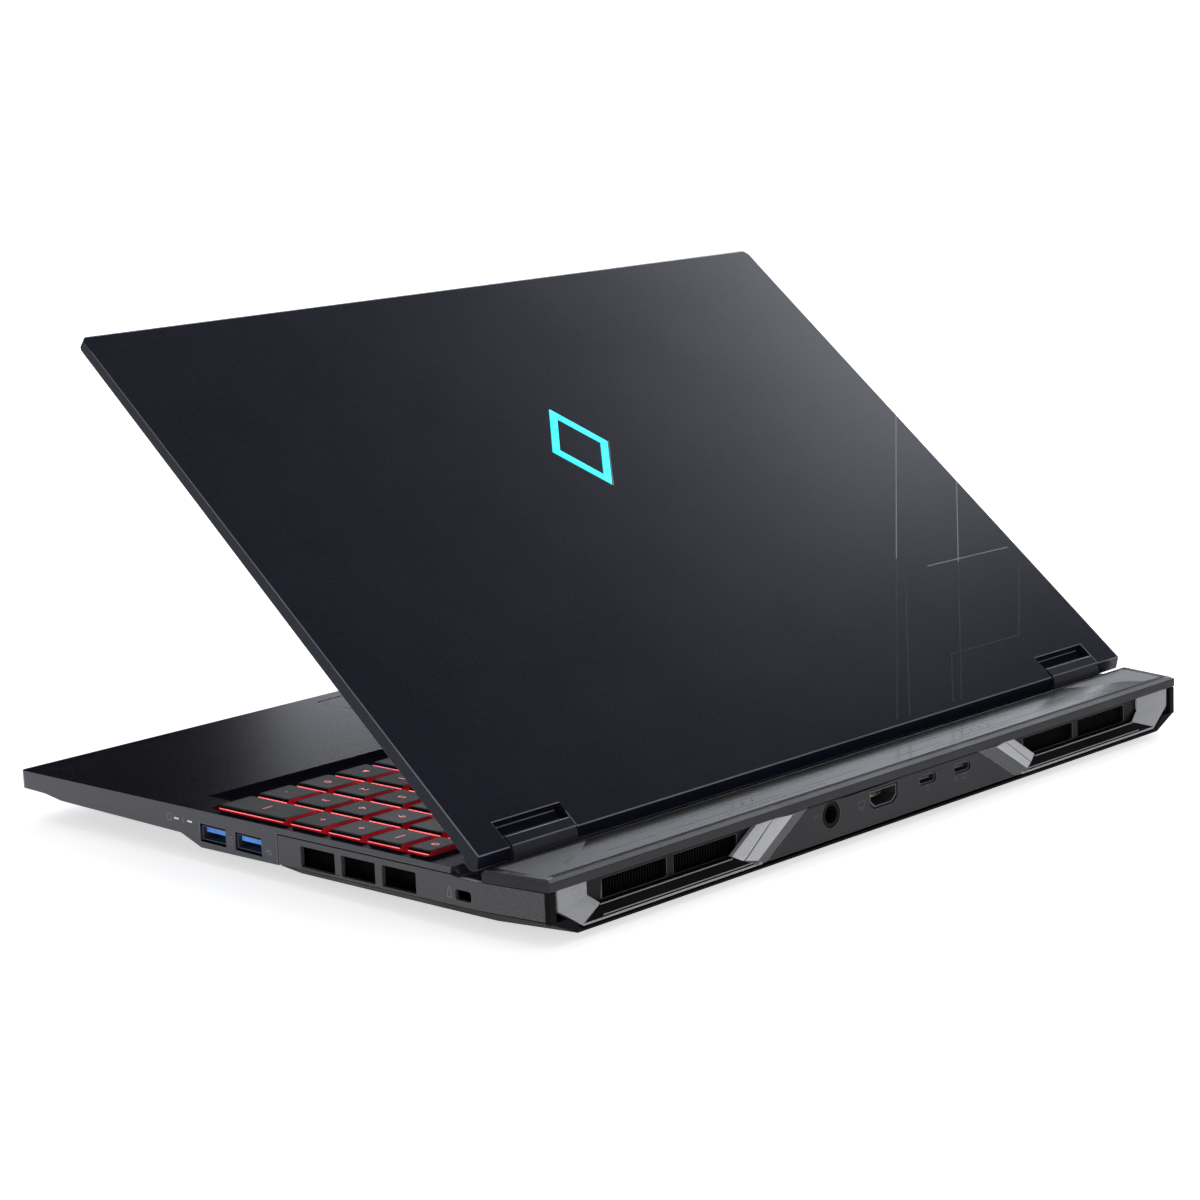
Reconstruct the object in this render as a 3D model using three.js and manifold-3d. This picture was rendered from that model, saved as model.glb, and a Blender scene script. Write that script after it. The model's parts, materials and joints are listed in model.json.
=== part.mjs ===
// A 16-inch gaming laptop, drawn with its lid 40 degrees open.
// Millimetres, +X is the user's right, +Y is the hinge side, +Z is up.
// The origin is under the middle of the machine, on the surface that its feet stand on.
import * as THREE from 'three';
import { mergeVertices } from 'three/addons/utils/BufferGeometryUtils.js';
import { ConvexGeometry } from 'three/addons/geometries/ConvexGeometry.js';
import Module from 'manifold-3d';

const wasm = await Module();
wasm.setup();

// ---------------------------------------------------------------- driving dimensions
const HALF_WIDTH = 180;
const FRONT_Y = -140;
const REAR_Y = 140;
const WALL = 1.6;
const GAP = 0.3;
const FOOT_HEIGHT = 2.6;

const DECK_EDGE_Y = 98.6;
const DECK_EDGE_Z = 21.3;
const DECK_SLOPE = 0.013;
const DECK_THICKNESS = 2.2;
const SKIRT_END_Y = 10.2;
const TROUGH_Z = 18.3;
const TROUGH_END_Y = 112;

const CAP_FRONT_Y = 112.8;
const CAP_REAR_Y = 139.5;
const CAP_BOTTOM_Z = 18.6;
const CAP_TOP_Z = 22.6;
const CAP_REAR_HALF = 175.8;
const PANEL_REAR_Y = 137.2;
const IO_FACE_Y = 138.9;
const IO_TOP_Z = 18.2;
const IO_BOTTOM_Z = 4.2;

const HINGE_Y = 107.5;
const HINGE_Z = 25.3;
const HINGE_X = 149;
const HINGE_COVER_WIDTH = 29.6;
const HINGE_NOTCH_WIDTH = 31;
const SHAFT_RADIUS = 1.5;

const LID_HALF = 178.9;
const LID_LENGTH = 249.5;
const LID_OPENING = THREE.MathUtils.degToRad(39.6);
const LID_OUTER = 3.1;
const LID_TAPER = 0.007;
const LID_INNER = -2.2;
const LID_SKIN = 1.2;
const BARREL_RADIUS = 4.2;
const SCREEN_WIDTH = 344.7;
const SCREEN_HEIGHT = 215.4;
const SCREEN_TOP = 242;

const KEY_COLUMNS = 19;
const KEY_PITCH_X = 18.4;
const KEY_PITCH_Y = 20;
const KEY_GAP = 2.8;
const KEY_LEFT = -KEY_COLUMNS * KEY_PITCH_X / 2;
const KEY_FRONT = -30.2;
const KEY_TOP = 0.9;
const KEY_HEIGHT = 3;
const FUNCTION_ROW_DEPTH = 11.5;
const WELL_HALF = 175.9;
const WELL_FRONT = -33;
const WELL_REAR = 83;
const PLATE_TOP = -4.3;
const PLATE_THICKNESS = 0.6;

const TOUCHPAD = { x0: -85, x1: 40, y0: -131, y1: -53, thickness: 1.2 };

const FAN_X = 122;
const FAN_Y = 72;
const FAN_RADIUS = 31;
const FAN_BOTTOM = 4.8;
const FAN_TOP = 13.4;

// Height of the sloping deck at a distance y from the middle of the machine.
const deckZ = (y) => DECK_EDGE_Z + (y - DECK_EDGE_Y) * DECK_SLOPE;

// ---------------------------------------------------------------- solids from shapes
function toSolid(geometry) {
  const bare = geometry.clone();
  bare.deleteAttribute('normal');
  bare.deleteAttribute('uv');
  const merged = mergeVertices(bare);
  return new wasm.Manifold(new wasm.Mesh({
    numProp: 3,
    vertProperties: Float32Array.from(merged.attributes.position.array),
    triVerts: Uint32Array.from(merged.index.array),
  }));
}

function toGeometry(solid) {
  const mesh = solid.getMesh();
  const geometry = new THREE.BufferGeometry();
  geometry.setAttribute('position', new THREE.BufferAttribute(mesh.vertProperties, 3));
  geometry.setIndex(new THREE.BufferAttribute(mesh.triVerts, 1));
  geometry.computeVertexNormals();
  return geometry;
}

const join = (first, ...others) => others.reduce((solid, other) => solid.add(other), first);
const cut = (first, ...tools) => tools.reduce((solid, tool) => solid.subtract(tool), first);
const common = (first, ...others) => others.reduce((solid, other) => solid.intersect(other), first);

function mirrorX(solid) {
  const geometry = toGeometry(solid).toNonIndexed();
  geometry.scale(-1, 1, 1);
  const position = geometry.attributes.position;
  for (let i = 0; i < position.count; i += 3) {
    const [x, y, z] = [position.getX(i), position.getY(i), position.getZ(i)];
    position.setXYZ(i, position.getX(i + 1), position.getY(i + 1), position.getZ(i + 1));
    position.setXYZ(i + 1, x, y, z);
  }
  return toSolid(geometry);
}

function box([x0, x1], [y0, y1], [z0, z1]) {
  const geometry = new THREE.BoxGeometry(x1 - x0, y1 - y0, z1 - z0);
  geometry.translate((x0 + x1) / 2, (y0 + y1) / 2, (z0 + z1) / 2);
  return toSolid(geometry);
}

const outline = (points) => new THREE.Shape(points.map(([a, b]) => new THREE.Vector2(a, b)));

function extrude(shape, depth, basis, offset) {
  const geometry = new THREE.ExtrudeGeometry(shape, { depth, bevelEnabled: false, curveSegments: 3 });
  geometry.applyMatrix4(basis);
  geometry.translate(...offset);
  return toSolid(geometry);
}

const vector = (x, y, z) => new THREE.Vector3(x, y, z);
const BASIS_X = new THREE.Matrix4().makeBasis(vector(0, 1, 0), vector(0, 0, 1), vector(1, 0, 0));
const BASIS_Y = new THREE.Matrix4().makeBasis(vector(1, 0, 0), vector(0, 0, 1), vector(0, -1, 0));
const BASIS_Z = new THREE.Matrix4();

// Prisms: a (y, z) shape swept along X, an (x, z) shape along Y, an (x, y) shape along Z.
const alongX = (shape, [x0, x1]) => extrude(shape, x1 - x0, BASIS_X, [x0, 0, 0]);
const alongY = (shape, [y0, y1]) => extrude(shape, y1 - y0, BASIS_Y, [0, y1, 0]);
const alongZ = (shape, [z0, z1]) => extrude(shape, z1 - z0, BASIS_Z, [0, 0, z0]);

function roundedRect([a0, a1], [b0, b1], radius) {
  const shape = new THREE.Shape();
  shape.moveTo(a0 + radius, b0);
  shape.lineTo(a1 - radius, b0);
  shape.absarc(a1 - radius, b0 + radius, radius, -Math.PI / 2, 0, false);
  shape.absarc(a1 - radius, b1 - radius, radius, 0, Math.PI / 2, false);
  shape.absarc(a0 + radius, b1 - radius, radius, Math.PI / 2, Math.PI, false);
  shape.absarc(a0 + radius, b0 + radius, radius, Math.PI, 1.5 * Math.PI, false);
  return shape;
}

function circle(a, b, radius, sides = 20) {
  const points = [];
  for (let i = 0; i < sides; i += 1) {
    const angle = (2 * Math.PI * i) / sides;
    points.push([a + radius * Math.cos(angle), b + radius * Math.sin(angle)]);
  }
  return outline(points);
}

const hull = (points) => toSolid(new ConvexGeometry(points.map((point) => vector(...point))));

// A closed body through rings of [x, y, z] points that run anticlockwise seen from above.
function loft(rings) {
  const positions = rings.flat(2);
  const count = rings[0].length;
  const index = [];
  for (let level = 0; level < rings.length - 1; level += 1) {
    for (let i = 0; i < count; i += 1) {
      const a = level * count + i;
      const b = level * count + ((i + 1) % count);
      index.push(a, b, b + count, a, b + count, a + count);
    }
  }
  const flat = (ring) => ring.map(([x, y]) => new THREE.Vector2(x, y));
  const last = (rings.length - 1) * count;
  for (const [a, b, c] of THREE.ShapeUtils.triangulateShape(flat(rings[0]), [])) {
    index.push(a, c, b);
  }
  for (const [a, b, c] of THREE.ShapeUtils.triangulateShape(flat(rings[rings.length - 1]), [])) {
    index.push(last + a, last + b, last + c);
  }
  const geometry = new THREE.BufferGeometry();
  geometry.setAttribute('position', new THREE.Float32BufferAttribute(positions, 3));
  geometry.setIndex(index);
  return toSolid(geometry);
}

// Completes a right-hand half ring, given front to back, with its mirror image.
const mirrored = (half) => [...half, ...half.map(([x, y, z]) => [-x, y, z]).reverse()];

// ---------------------------------------------------------------- scene helpers
const laptop = new THREE.Group();

function finish(color, roughness, metalness) {
  return new THREE.MeshStandardMaterial({ color, roughness, metalness });
}

const NAVY_METAL = [0x1f2029, 0.42, 0.7];
const SPECKLED_GREY = [0x4c4d52, 0.55, 0.4];
const SILVER = [0xa9abb0, 0.4, 0.6];
const DARK_PLASTIC = [0x1b1b1f, 0.6, 0.0];
const GLOSS_BLACK = [0x111214, 0.12, 0.0];
const BLACK_METAL = [0x0b0b0c, 0.45, 0.8];
const STEEL = [0x9a9ca0, 0.3, 1.0];
const COPPER = [0xb06a3c, 0.35, 1.0];
const RUBBER = [0x101011, 0.9, 0.0];
const KEYCAP = [0x232226, 0.62, 0.0];
const BOARD = [0x123524, 0.6, 0.1];

function add(parent, name, solid, look) {
  const mesh = new THREE.Mesh(toGeometry(solid), finish(...look));
  mesh.name = name;
  parent.add(mesh);
}

// ---------------------------------------------------------------- bottom cover
// Each row: the rim's x, y, z, then the flat underside's x, y, from the front to the back.
const TRAY = [
  [150, -137.9, 11.6, 128, -112],
  [168, -137.9, 11.6, 150, -112],
  [177.9, -128, 11.5, 155, -104],
  [177.9, -115, 10.3, 155, -96],
  [177.9, -43, 9.9, 156, -48],
  [177.9, -31.5, 6.2, 166.5, -24],
  [177.9, 9.8, 6.9, 171.5, 11],
  [179.4, 11.3, 6.6, 172.6, 14],
  [179.4, 109.4, 8.3, 170.2, 109],
  [175.6, 139.3, 8.2, 163.7, 139.3],
];

function trayLoft(inset, floor, top) {
  const inside = (y, front) => THREE.MathUtils.clamp(y, front + inset, 139.3 - inset);
  const under = TRAY.map(([, , , x, y]) => [x - 1.6 * inset, inside(y, -112), floor]);
  const rim = TRAY.map(([x, y, z]) => [x - inset, inside(y, -137.9), z]);
  const above = rim.map(([x, y]) => [x, y, top]);
  return loft([mirrored(under), mirrored(rim), mirrored(above)]);
}

// Everything above the tray's rim, which follows the lower edge of the side walls.
function aboveRim() {
  const rim = TRAY.slice(1).map(([, y, z]) => [y, z]);
  const [front, rear] = [FRONT_Y - 10, REAR_Y + 10];
  const sky = 40;
  return alongX(outline([
    [front, rim[0][1]], ...rim, [rear, rim.at(-1)[1]], [rear, sky], [front, sky],
  ]), [-HALF_WIDTH - 10, HALF_WIDTH + 10]);
}

function intakeSlots(side) {
  const slots = [];
  const pitch = 7;
  for (let i = -4; i <= 4; i += 1) {
    const reach = Math.sqrt(FAN_RADIUS ** 2 - (i * pitch) ** 2) - 1;
    const x = side * FAN_X;
    const y = FAN_Y + i * pitch;
    slots.push(box([x - reach, x + reach], [y - 1.4, y + 1.4], [0, 6]));
  }
  return slots;
}

const COVER_SCREWS = [
  [-140, -86], [-60, -100], [60, -100], [140, -86],
  [-152, 20], [0, 0], [152, 20],
  [-150, 112], [-50, 108], [50, 108], [150, 112],
];

function bottomCover() {
  const rearMouth = outline([
    [-171.9, 20], [-171.9, 11], [-161.2, 3.4], [161.2, 3.4], [171.9, 11], [171.9, 20],
  ]);
  const screwSeats = COVER_SCREWS.map(([x, y]) => alongZ(circle(x, y, 2.9, 8), [2, 3.2]));
  const post = (side) => alongZ(outline([
    [side * 173, 137.5], [side * 175.8, 137.5], [side * 175.6, 139.3], [side * 173, 139.3],
  ]), [7.8, TROUGH_Z]);
  const shell = cut(trayLoft(0, FOOT_HEIGHT, 14), trayLoft(1.9, FOOT_HEIGHT + 1.8, 15), aboveRim());
  return cut(
    join(shell, post(1), post(-1)),
    alongY(rearMouth, [130, 141]),
    ...intakeSlots(1),
    ...intakeSlots(-1),
    ...screwSeats,
  );
}
add(laptop, 'bottom_cover', bottomCover(), DARK_PLASTIC);

function rubberFoot([x0, x1], [y0, y1]) {
  const lower = alongZ(roundedRect([x0 + 0.8, x1 - 0.8], [y0 + 0.8, y1 - 0.8], 3), [0, 1.2]);
  const upper = alongZ(roundedRect([x0, x1], [y0, y1], 3.8), [1.2, FOOT_HEIGHT]);
  return join(lower, upper);
}
add(laptop, 'foot_front', rubberFoot([-120, 120], [-108, -98]), RUBBER);
add(laptop, 'foot_rear', rubberFoot([-140, 140], [121, 132]), RUBBER);

// ---------------------------------------------------------------- palm-rest deck
const USB_A = [{ name: 'usb_a_port_front', y: -25.1 }, { name: 'usb_a_port_rear', y: -5.5 }];
const USB_A_Z = 11.5;
const ETHERNET = { y: -8, z: 11.1 };
const AUDIO = { y: -26, z: 11.8 };

function skirtAndPlate() {
  const profile = outline([
    [FRONT_Y, 12.4], [FRONT_Y + 1, 11.4], [-125.4, 11.2], [-115, 9.9], [-43.4, 9.5], [-32, 5.8],
    [SKIRT_END_Y, 6.6], [SKIRT_END_Y, deckZ(SKIRT_END_Y) - DECK_THICKNESS],
    [DECK_EDGE_Y - 0.5, deckZ(DECK_EDGE_Y) - DECK_THICKNESS], [DECK_EDGE_Y, DECK_EDGE_Z],
    [FRONT_Y, deckZ(FRONT_Y)],
  ]);
  const plan = alongZ(outline([
    [-HALF_WIDTH + 2.2, FRONT_Y], [HALF_WIDTH - 2.2, FRONT_Y], [HALF_WIDTH - 0.6, FRONT_Y + 0.6],
    [HALF_WIDTH, FRONT_Y + 2.2], [HALF_WIDTH, 100], [-HALF_WIDTH, 100],
    [-HALF_WIDTH, FRONT_Y + 2.2], [-HALF_WIDTH + 0.6, FRONT_Y + 0.6],
  ]), [0, 30]);
  const inside = outline([
    [FRONT_Y + WALL, 0], [SKIRT_END_Y + 1, 0], [SKIRT_END_Y + 1, deckZ(SKIRT_END_Y + 1) - DECK_THICKNESS],
    [FRONT_Y + WALL, deckZ(FRONT_Y + WALL) - DECK_THICKNESS],
  ]);
  const half = HALF_WIDTH - WALL;
  return cut(common(alongX(profile, [-HALF_WIDTH, HALF_WIDTH]), plan), alongX(inside, [-half, half]));
}

// The lowered shelf behind the deck, which the round lower end of the lid turns over.
function hingeTrough() {
  const profile = outline([
    [97, deckZ(97) - DECK_THICKNESS], [99.6, TROUGH_Z - 1.5], [TROUGH_END_Y, TROUGH_Z - 1.5],
    [TROUGH_END_Y, TROUGH_Z], [101.3, TROUGH_Z], [DECK_EDGE_Y, DECK_EDGE_Z], [97, deckZ(97)],
  ]);
  return alongX(profile, [-178.1, 178.1]);
}

function deckOpenings() {
  const wellEnd = WELL_FRONT + 0.1;
  const wellEdge = alongX(outline([
    [-46, deckZ(-46) + 0.1], [wellEnd, deckZ(wellEnd) + 0.1],
    [wellEnd, deckZ(wellEnd) - 1.5], [-45, deckZ(-45) - 0.2],
  ]), [-165, 165]);
  const well = alongZ(roundedRect([-WELL_HALF, WELL_HALF], [WELL_FRONT, WELL_REAR], 1.5), [10, 30]);
  const pad = TOUCHPAD;
  const padHole = alongZ(roundedRect(
    [pad.x0 - 0.5, pad.x1 + 0.5],
    [pad.y0 - 0.5, pad.y1 + 0.5],
    3,
  ), [10, 30]);
  const usb = USB_A.map(({ y }) => box([175, 181], [y - 7.2, y + 7.2], [USB_A_Z - 3.3, USB_A_Z + 3.3]));
  const socket = ETHERNET;
  const ethernet = box([-181, -175], [socket.y - 7.3, socket.y + 7.3], [socket.z - 3.8, socket.z + 3.5]);
  const audio = alongX(circle(AUDIO.y, AUDIO.z, 3), [-181, -175]);
  const leg = box([HINGE_X - 9.3, HINGE_X + 3.3], [HINGE_Y - 2.2, HINGE_Y + 2.2], [15, 20]);
  return [wellEdge, well, padHole, ...usb, ethernet, audio, leg, mirrorX(leg)];
}
add(laptop, 'palmrest_deck', cut(join(skirtAndPlate(), hingeTrough()), ...deckOpenings()), NAVY_METAL);

// ---------------------------------------------------------------- side panels
const SIDE_VENTS = [[22.8, 40.5], [43.9, 60.9], [64.4, 81.1]];
const ventFloor = (y) => 8.3 + (y - 22.8) * 0.012;

function sidePanel() {
  const topLine = (y) => deckZ(y) - DECK_THICKNESS - GAP;
  const profile = outline([
    [SKIRT_END_Y + 0.5, 7.0], [110, 8.7], [PANEL_REAR_Y, 8.6], [PANEL_REAR_Y, TROUGH_Z], [100.9, TROUGH_Z],
    [98.4, topLine(98.4)], [SKIRT_END_Y + 0.5, topLine(SKIRT_END_Y)],
  ]);
  const plan = outline([
    [178.4, SKIRT_END_Y], [HALF_WIDTH, SKIRT_END_Y], [HALF_WIDTH, 110], [176.05, PANEL_REAR_Y + 0.1],
    [174.4, PANEL_REAR_Y + 0.1], [178.4, 109.8],
  ]);
  const vents = SIDE_VENTS.map(([y0, y1]) => alongX(outline([
    [y0, ventFloor(y0)], [y1, ventFloor(y1)], [y1, ventFloor(y1) + 7.3], [y0, ventFloor(y0) + 7.3],
  ]), [170, 181]));
  const lockSlot = alongX(roundedRect([100, 107.4], [10.7, 14.2], 1), [170, 181]);
  return cut(common(alongX(profile, [170, 181]), alongZ(plan, [0, 30])), ...vents, lockSlot);
}
const rightPanel = sidePanel();
add(laptop, 'side_panel_right', rightPanel, SPECKLED_GREY);
add(laptop, 'side_panel_left', mirrorX(rightPanel), SPECKLED_GREY);

// ---------------------------------------------------------------- rear cap
function rearCap() {
  const ring = (inset, z) => mirrored([
    [HALF_WIDTH - inset, CAP_FRONT_Y + 0.6 * inset, z],
    [CAP_REAR_HALF - inset, CAP_REAR_Y - 1.5 * inset, z],
  ]);
  const outer = loft([ring(0, CAP_BOTTOM_Z), ring(0, CAP_TOP_Z - 0.9), ring(1.2, CAP_TOP_Z)]);
  const hollow = loft([ring(2.2, CAP_BOTTOM_Z - 1), ring(2.2, CAP_TOP_Z - 2.2)]);
  return cut(outer, hollow, windowShape(0, 4));
}

function windowShape(inset, height) {
  return alongZ(outline([
    [-175.4 + inset, 114.4 + inset], [175.4 - inset, 114.4 + inset],
    [171.9 - inset, 135.6 - inset], [-171.9 + inset, 135.6 - inset],
  ]), [CAP_TOP_Z - 0.9, CAP_TOP_Z - 0.9 + height]);
}
add(laptop, 'rear_cap', rearCap(), SPECKLED_GREY);
add(laptop, 'light_bar_window', windowShape(0.25, 0.8), GLOSS_BLACK);

// ---------------------------------------------------------------- rear ports and their panel
const HDMI = { x: 7.2, z: 13.5 };
const USB_C = [
  { name: 'usb_c_port_inner', x: -18.2, z: 14.4 },
  { name: 'usb_c_port_outer', x: -38.6, z: 14.4 },
];
const DC = { x: 36.2, z: 13.2 };

function hdmiShape(margin) {
  const w = 7 + margin;
  const top = HDMI.z + 2.6 + margin;
  const low = HDMI.z - 2.6 - margin;
  const { x } = HDMI;
  return outline([
    [x - w, top], [x - w, low + 2.2], [x - w + 2.6, low],
    [x + w - 2.6, low], [x + w, low + 2.2], [x + w, top],
  ]);
}
const pill = ({ x, z }, w, h) => roundedRect([x - w, x + w], [z - h, z + h], h - 0.02);

function rearPanel() {
  const face = outline([[-48.2, IO_TOP_Z], [48.2, IO_TOP_Z], [70.3, IO_BOTTOM_Z], [-70.3, IO_BOTTOM_Z]]);
  const depth = [IO_FACE_Y - 4, IO_FACE_Y + 1];
  return cut(
    alongY(face, [IO_FACE_Y - WALL, IO_FACE_Y]),
    alongY(hdmiShape(1), depth),
    alongY(circle(DC.x, DC.z, 4.8, 24), depth),
    ...USB_C.map((port) => alongY(pill(port, 5.1, 1.85), depth)),
  );
}
add(laptop, 'rear_io_panel', rearPanel(), DARK_PLASTIC);

function hdmiPort() {
  const shell = alongY(hdmiShape(0.6), [128, 138.6]);
  const cavity = alongY(hdmiShape(0), [129.5, 139]);
  const tongue = box([HDMI.x - 5.2, HDMI.x + 5.2], [129, 133.8], [HDMI.z - 0.2, HDMI.z + 1]);
  return join(cut(shell, cavity), tongue);
}
add(laptop, 'hdmi_port', hdmiPort(), STEEL);

function usbCPort(port) {
  const shell = alongY(pill(port, 4.7, 1.6), [129.5, 138.4]);
  const cavity = alongY(pill(port, 4.35, 1.25), [131, 139]);
  const tongue = box([port.x - 3.2, port.x + 3.2], [130.6, 137], [port.z - 0.35, port.z + 0.35]);
  return join(cut(shell, cavity), tongue);
}
USB_C.forEach((port) => add(laptop, port.name, usbCPort(port), STEEL));

function dcInlet() {
  const barrel = alongY(circle(DC.x, DC.z, 4.5, 24), [128.2, 138.7]);
  const socket = alongY(circle(DC.x, DC.z, 3.2, 24), [129.5, 139]);
  const pin = alongY(circle(DC.x, DC.z, 0.6, 12), [129, 133.8]);
  return join(cut(barrel, socket), pin);
}
add(laptop, 'dc_inlet', dcInlet(), BLACK_METAL);

// ---------------------------------------------------------------- side ports
function usbAPort(y) {
  const shell = box([165, 179.2], [y - 6.8, y + 6.8], [USB_A_Z - 2.6, USB_A_Z + 2.6]);
  const cavity = box([166, 180], [y - 6.2, y + 6.2], [USB_A_Z - 2.2, USB_A_Z + 2.2]);
  const tongue = box([165.5, 174.4], [y - 5.6, y + 5.6], [USB_A_Z + 0.1, USB_A_Z + 1.5]);
  return join(cut(shell, cavity), tongue);
}
USB_A.forEach(({ name, y }) => add(laptop, name, usbAPort(y), STEEL));

function ethernetPort() {
  const { y, z } = ETHERNET;
  const shell = box([-179.2, -163], [y - 7, y + 7], [z - 3.5, z + 3.2]);
  const cavity = box([-180, -165], [y - 6, y + 6], [z - 2.7, z + 2.7]);
  const latchSlot = box([-180, -165], [y - 2, y + 2], [z - 3.2, z - 2.5]);
  return cut(shell, cavity, latchSlot);
}
add(laptop, 'ethernet_port', ethernetPort(), BLACK_METAL);

function audioJack() {
  const sleeve = alongX(circle(AUDIO.y, AUDIO.z, 2.8), [-179.4, -166]);
  const bore = alongX(circle(AUDIO.y, AUDIO.z, 1.75), [-180, -167]);
  return cut(sleeve, bore);
}
add(laptop, 'audio_jack', audioJack(), BLACK_METAL);

// ---------------------------------------------------------------- rear exhausts
const MOUTH = { seamLow: 70.9, seamTop: 48.8, frontY: 139.5, backY: 135, innerY: 136.6, top: 18.2 };

// The silver surround of one exhaust: a fin beside the ports, a sill, and a fin at the corner.
function exhaustTrim() {
  const { seamLow, seamTop, frontY, backY, innerY, top } = MOUTH;
  const sillZ = 4.3;
  const innerFin = hull([
    [seamLow, IO_FACE_Y, sillZ], [seamTop, IO_FACE_Y, top],
    [76.6, REAR_Y, 6.2], [58, REAR_Y, top],
    [86, innerY, 9.2], [72.1, innerY, top],
    [seamLow, backY, sillZ], [seamTop, backY, top],
    [86, backY, 9.2], [72.1, backY, top], [77, frontY, sillZ], [77, backY, sillZ],
  ]);
  const sill = alongX(outline([
    [backY, sillZ], [frontY, sillZ], [frontY, sillZ + 0.7], [innerY, 8.7], [backY, 8.7],
  ]), [74, 161]);
  const plateSet = 1;
  const plate = [[171.5, top, frontY], [171.3, 11.4, frontY], [155.2, 12.5, innerY], [155.2, top, innerY]];
  const rampFoot = [[160.9, sillZ, frontY], [150.3, 8.8, innerY]];
  const plateFace = plate.map(([x, z, y]) => [x, y - plateSet, z]);
  const back = (points) => points.map(([x, z]) => [x, backY, z]);
  const cornerPlate = hull([...plateFace, ...back(plate)]);
  const cornerRamp = hull([
    ...plateFace.slice(1, 3), ...rampFoot.map(([x, z, y]) => [x, y, z]),
    ...back(plate.slice(1, 3)), ...back(rampFoot),
  ]);
  return join(innerFin, sill, cornerPlate, cornerRamp);
}
const rightTrim = exhaustTrim();
add(laptop, 'exhaust_trim_right', rightTrim, SILVER);
add(laptop, 'exhaust_trim_left', mirrorX(rightTrim), SILVER);

const EXHAUSTS = [[81.5, 113], [116.5, 147.3]];

function exhaustGrille() {
  const plate = box([74, 156], [133.2, 134.7], [8.2, MOUTH.top]);
  const openings = EXHAUSTS.map((span) => box(span, [130, 136], [9.3, 15.8]));
  return cut(plate, ...openings);
}
const rightGrille = exhaustGrille();
add(laptop, 'exhaust_grille_right', rightGrille, DARK_PLASTIC);
add(laptop, 'exhaust_grille_left', mirrorX(rightGrille), DARK_PLASTIC);

// ---------------------------------------------------------------- cooling
// A stack of thin fins between two plates: air passes along the fins.
function finStack([a0, a1], [b0, b1], [z0, z1], pitch, makeBox) {
  const slots = [];
  for (let a = a0 + 0.6; a + pitch - 0.7 < a1; a += pitch) {
    slots.push(makeBox([a, a + pitch - 0.7], [b0 - 1, b1 + 1], [z0 + 0.6, z1 - 0.6]));
  }
  return cut(makeBox([a0, a1], [b0, b1], [z0, z1]), ...slots);
}
const rearStack = finStack([80, 149], [119, 132.8], [8.6, 16.4], 4, box);
add(laptop, 'heatsink_rear_right', rearStack, BLACK_METAL);
add(laptop, 'heatsink_rear_left', mirrorX(rearStack), BLACK_METAL);
const turned = (along, across, z) => box(across, along, z);
const sideStack = finStack([21.5, 82.5], [158, 175.5], [7.9, 15], 4, turned);
add(laptop, 'heatsink_side_right', sideStack, BLACK_METAL);
add(laptop, 'heatsink_side_left', mirrorX(sideStack), BLACK_METAL);

function fanHousing() {
  const plan = roundedRect([FAN_X - 34, FAN_X + 35.5], [FAN_Y - 34, FAN_Y + 44], 6);
  const body = alongZ(plan, [FAN_BOTTOM, FAN_TOP]);
  const chamber = alongZ(circle(FAN_X, FAN_Y, FAN_RADIUS + 1.4, 28), [FAN_BOTTOM + 0.8, FAN_TOP - 0.8]);
  const topInlet = alongZ(circle(FAN_X, FAN_Y, FAN_RADIUS - 6, 20), [FAN_TOP - 2, FAN_TOP + 1]);
  const bottomInlet = alongZ(circle(FAN_X, FAN_Y, FAN_RADIUS - 8, 20), [FAN_BOTTOM - 1, FAN_BOTTOM + 2]);
  const rearOutlet = box([FAN_X - 32, FAN_X + 32], [FAN_Y, FAN_Y + 50], [FAN_BOTTOM + 0.8, FAN_TOP - 0.8]);
  const sideOutlet = box([FAN_X, FAN_X + 40], [FAN_Y - 31, FAN_Y + 30], [FAN_BOTTOM + 0.8, FAN_TOP - 0.8]);
  const spider = join(
    box([FAN_X - 30, FAN_X + 30], [FAN_Y - 1.5, FAN_Y + 1.5], [FAN_BOTTOM, FAN_BOTTOM + 0.8]),
    alongZ(circle(FAN_X, FAN_Y, 9, 12), [FAN_BOTTOM, FAN_BOTTOM + 0.8]),
    alongZ(circle(FAN_X, FAN_Y, 1.6, 12), [FAN_BOTTOM, FAN_TOP - 2.6]),
  );
  return join(cut(body, chamber, topInlet, bottomInlet, rearOutlet, sideOutlet), spider);
}
const rightHousing = fanHousing();
add(laptop, 'fan_housing_right', rightHousing, DARK_PLASTIC);
add(laptop, 'fan_housing_left', mirrorX(rightHousing), DARK_PLASTIC);

const FAN_BLADES = 17;

function fanRotor() {
  const low = FAN_BOTTOM + 1.6;
  const high = FAN_TOP - 1.4;
  const blades = [];
  for (let i = 0; i < FAN_BLADES; i += 1) {
    const angle = (2 * Math.PI * i) / FAN_BLADES;
    const at = (radius, turn) => [
      FAN_X + radius * Math.cos(angle + turn),
      FAN_Y + radius * Math.sin(angle + turn),
    ];
    blades.push(alongZ(outline([
      at(10.5, 0), at(FAN_RADIUS - 1, 0.32), at(FAN_RADIUS - 1, 0.36), at(10.5, 0.1),
    ]), [low, high]));
  }
  const hub = alongZ(circle(FAN_X, FAN_Y, 11.5, 20), [low, high]);
  const band = cut(
    alongZ(circle(FAN_X, FAN_Y, FAN_RADIUS - 1.6, 24), [low, low + 0.8]),
    alongZ(circle(FAN_X, FAN_Y, FAN_RADIUS - 4, 24), [low - 1, low + 2]),
  );
  const bearing = alongZ(circle(FAN_X, FAN_Y, 1.9, 12), [low - 1, high - 1]);
  return cut(join(hub, band, ...blades), bearing);
}
const rightRotor = fanRotor();
add(laptop, 'fan_rotor_right', rightRotor, DARK_PLASTIC);
add(laptop, 'fan_rotor_left', mirrorX(rightRotor), DARK_PLASTIC);

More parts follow.
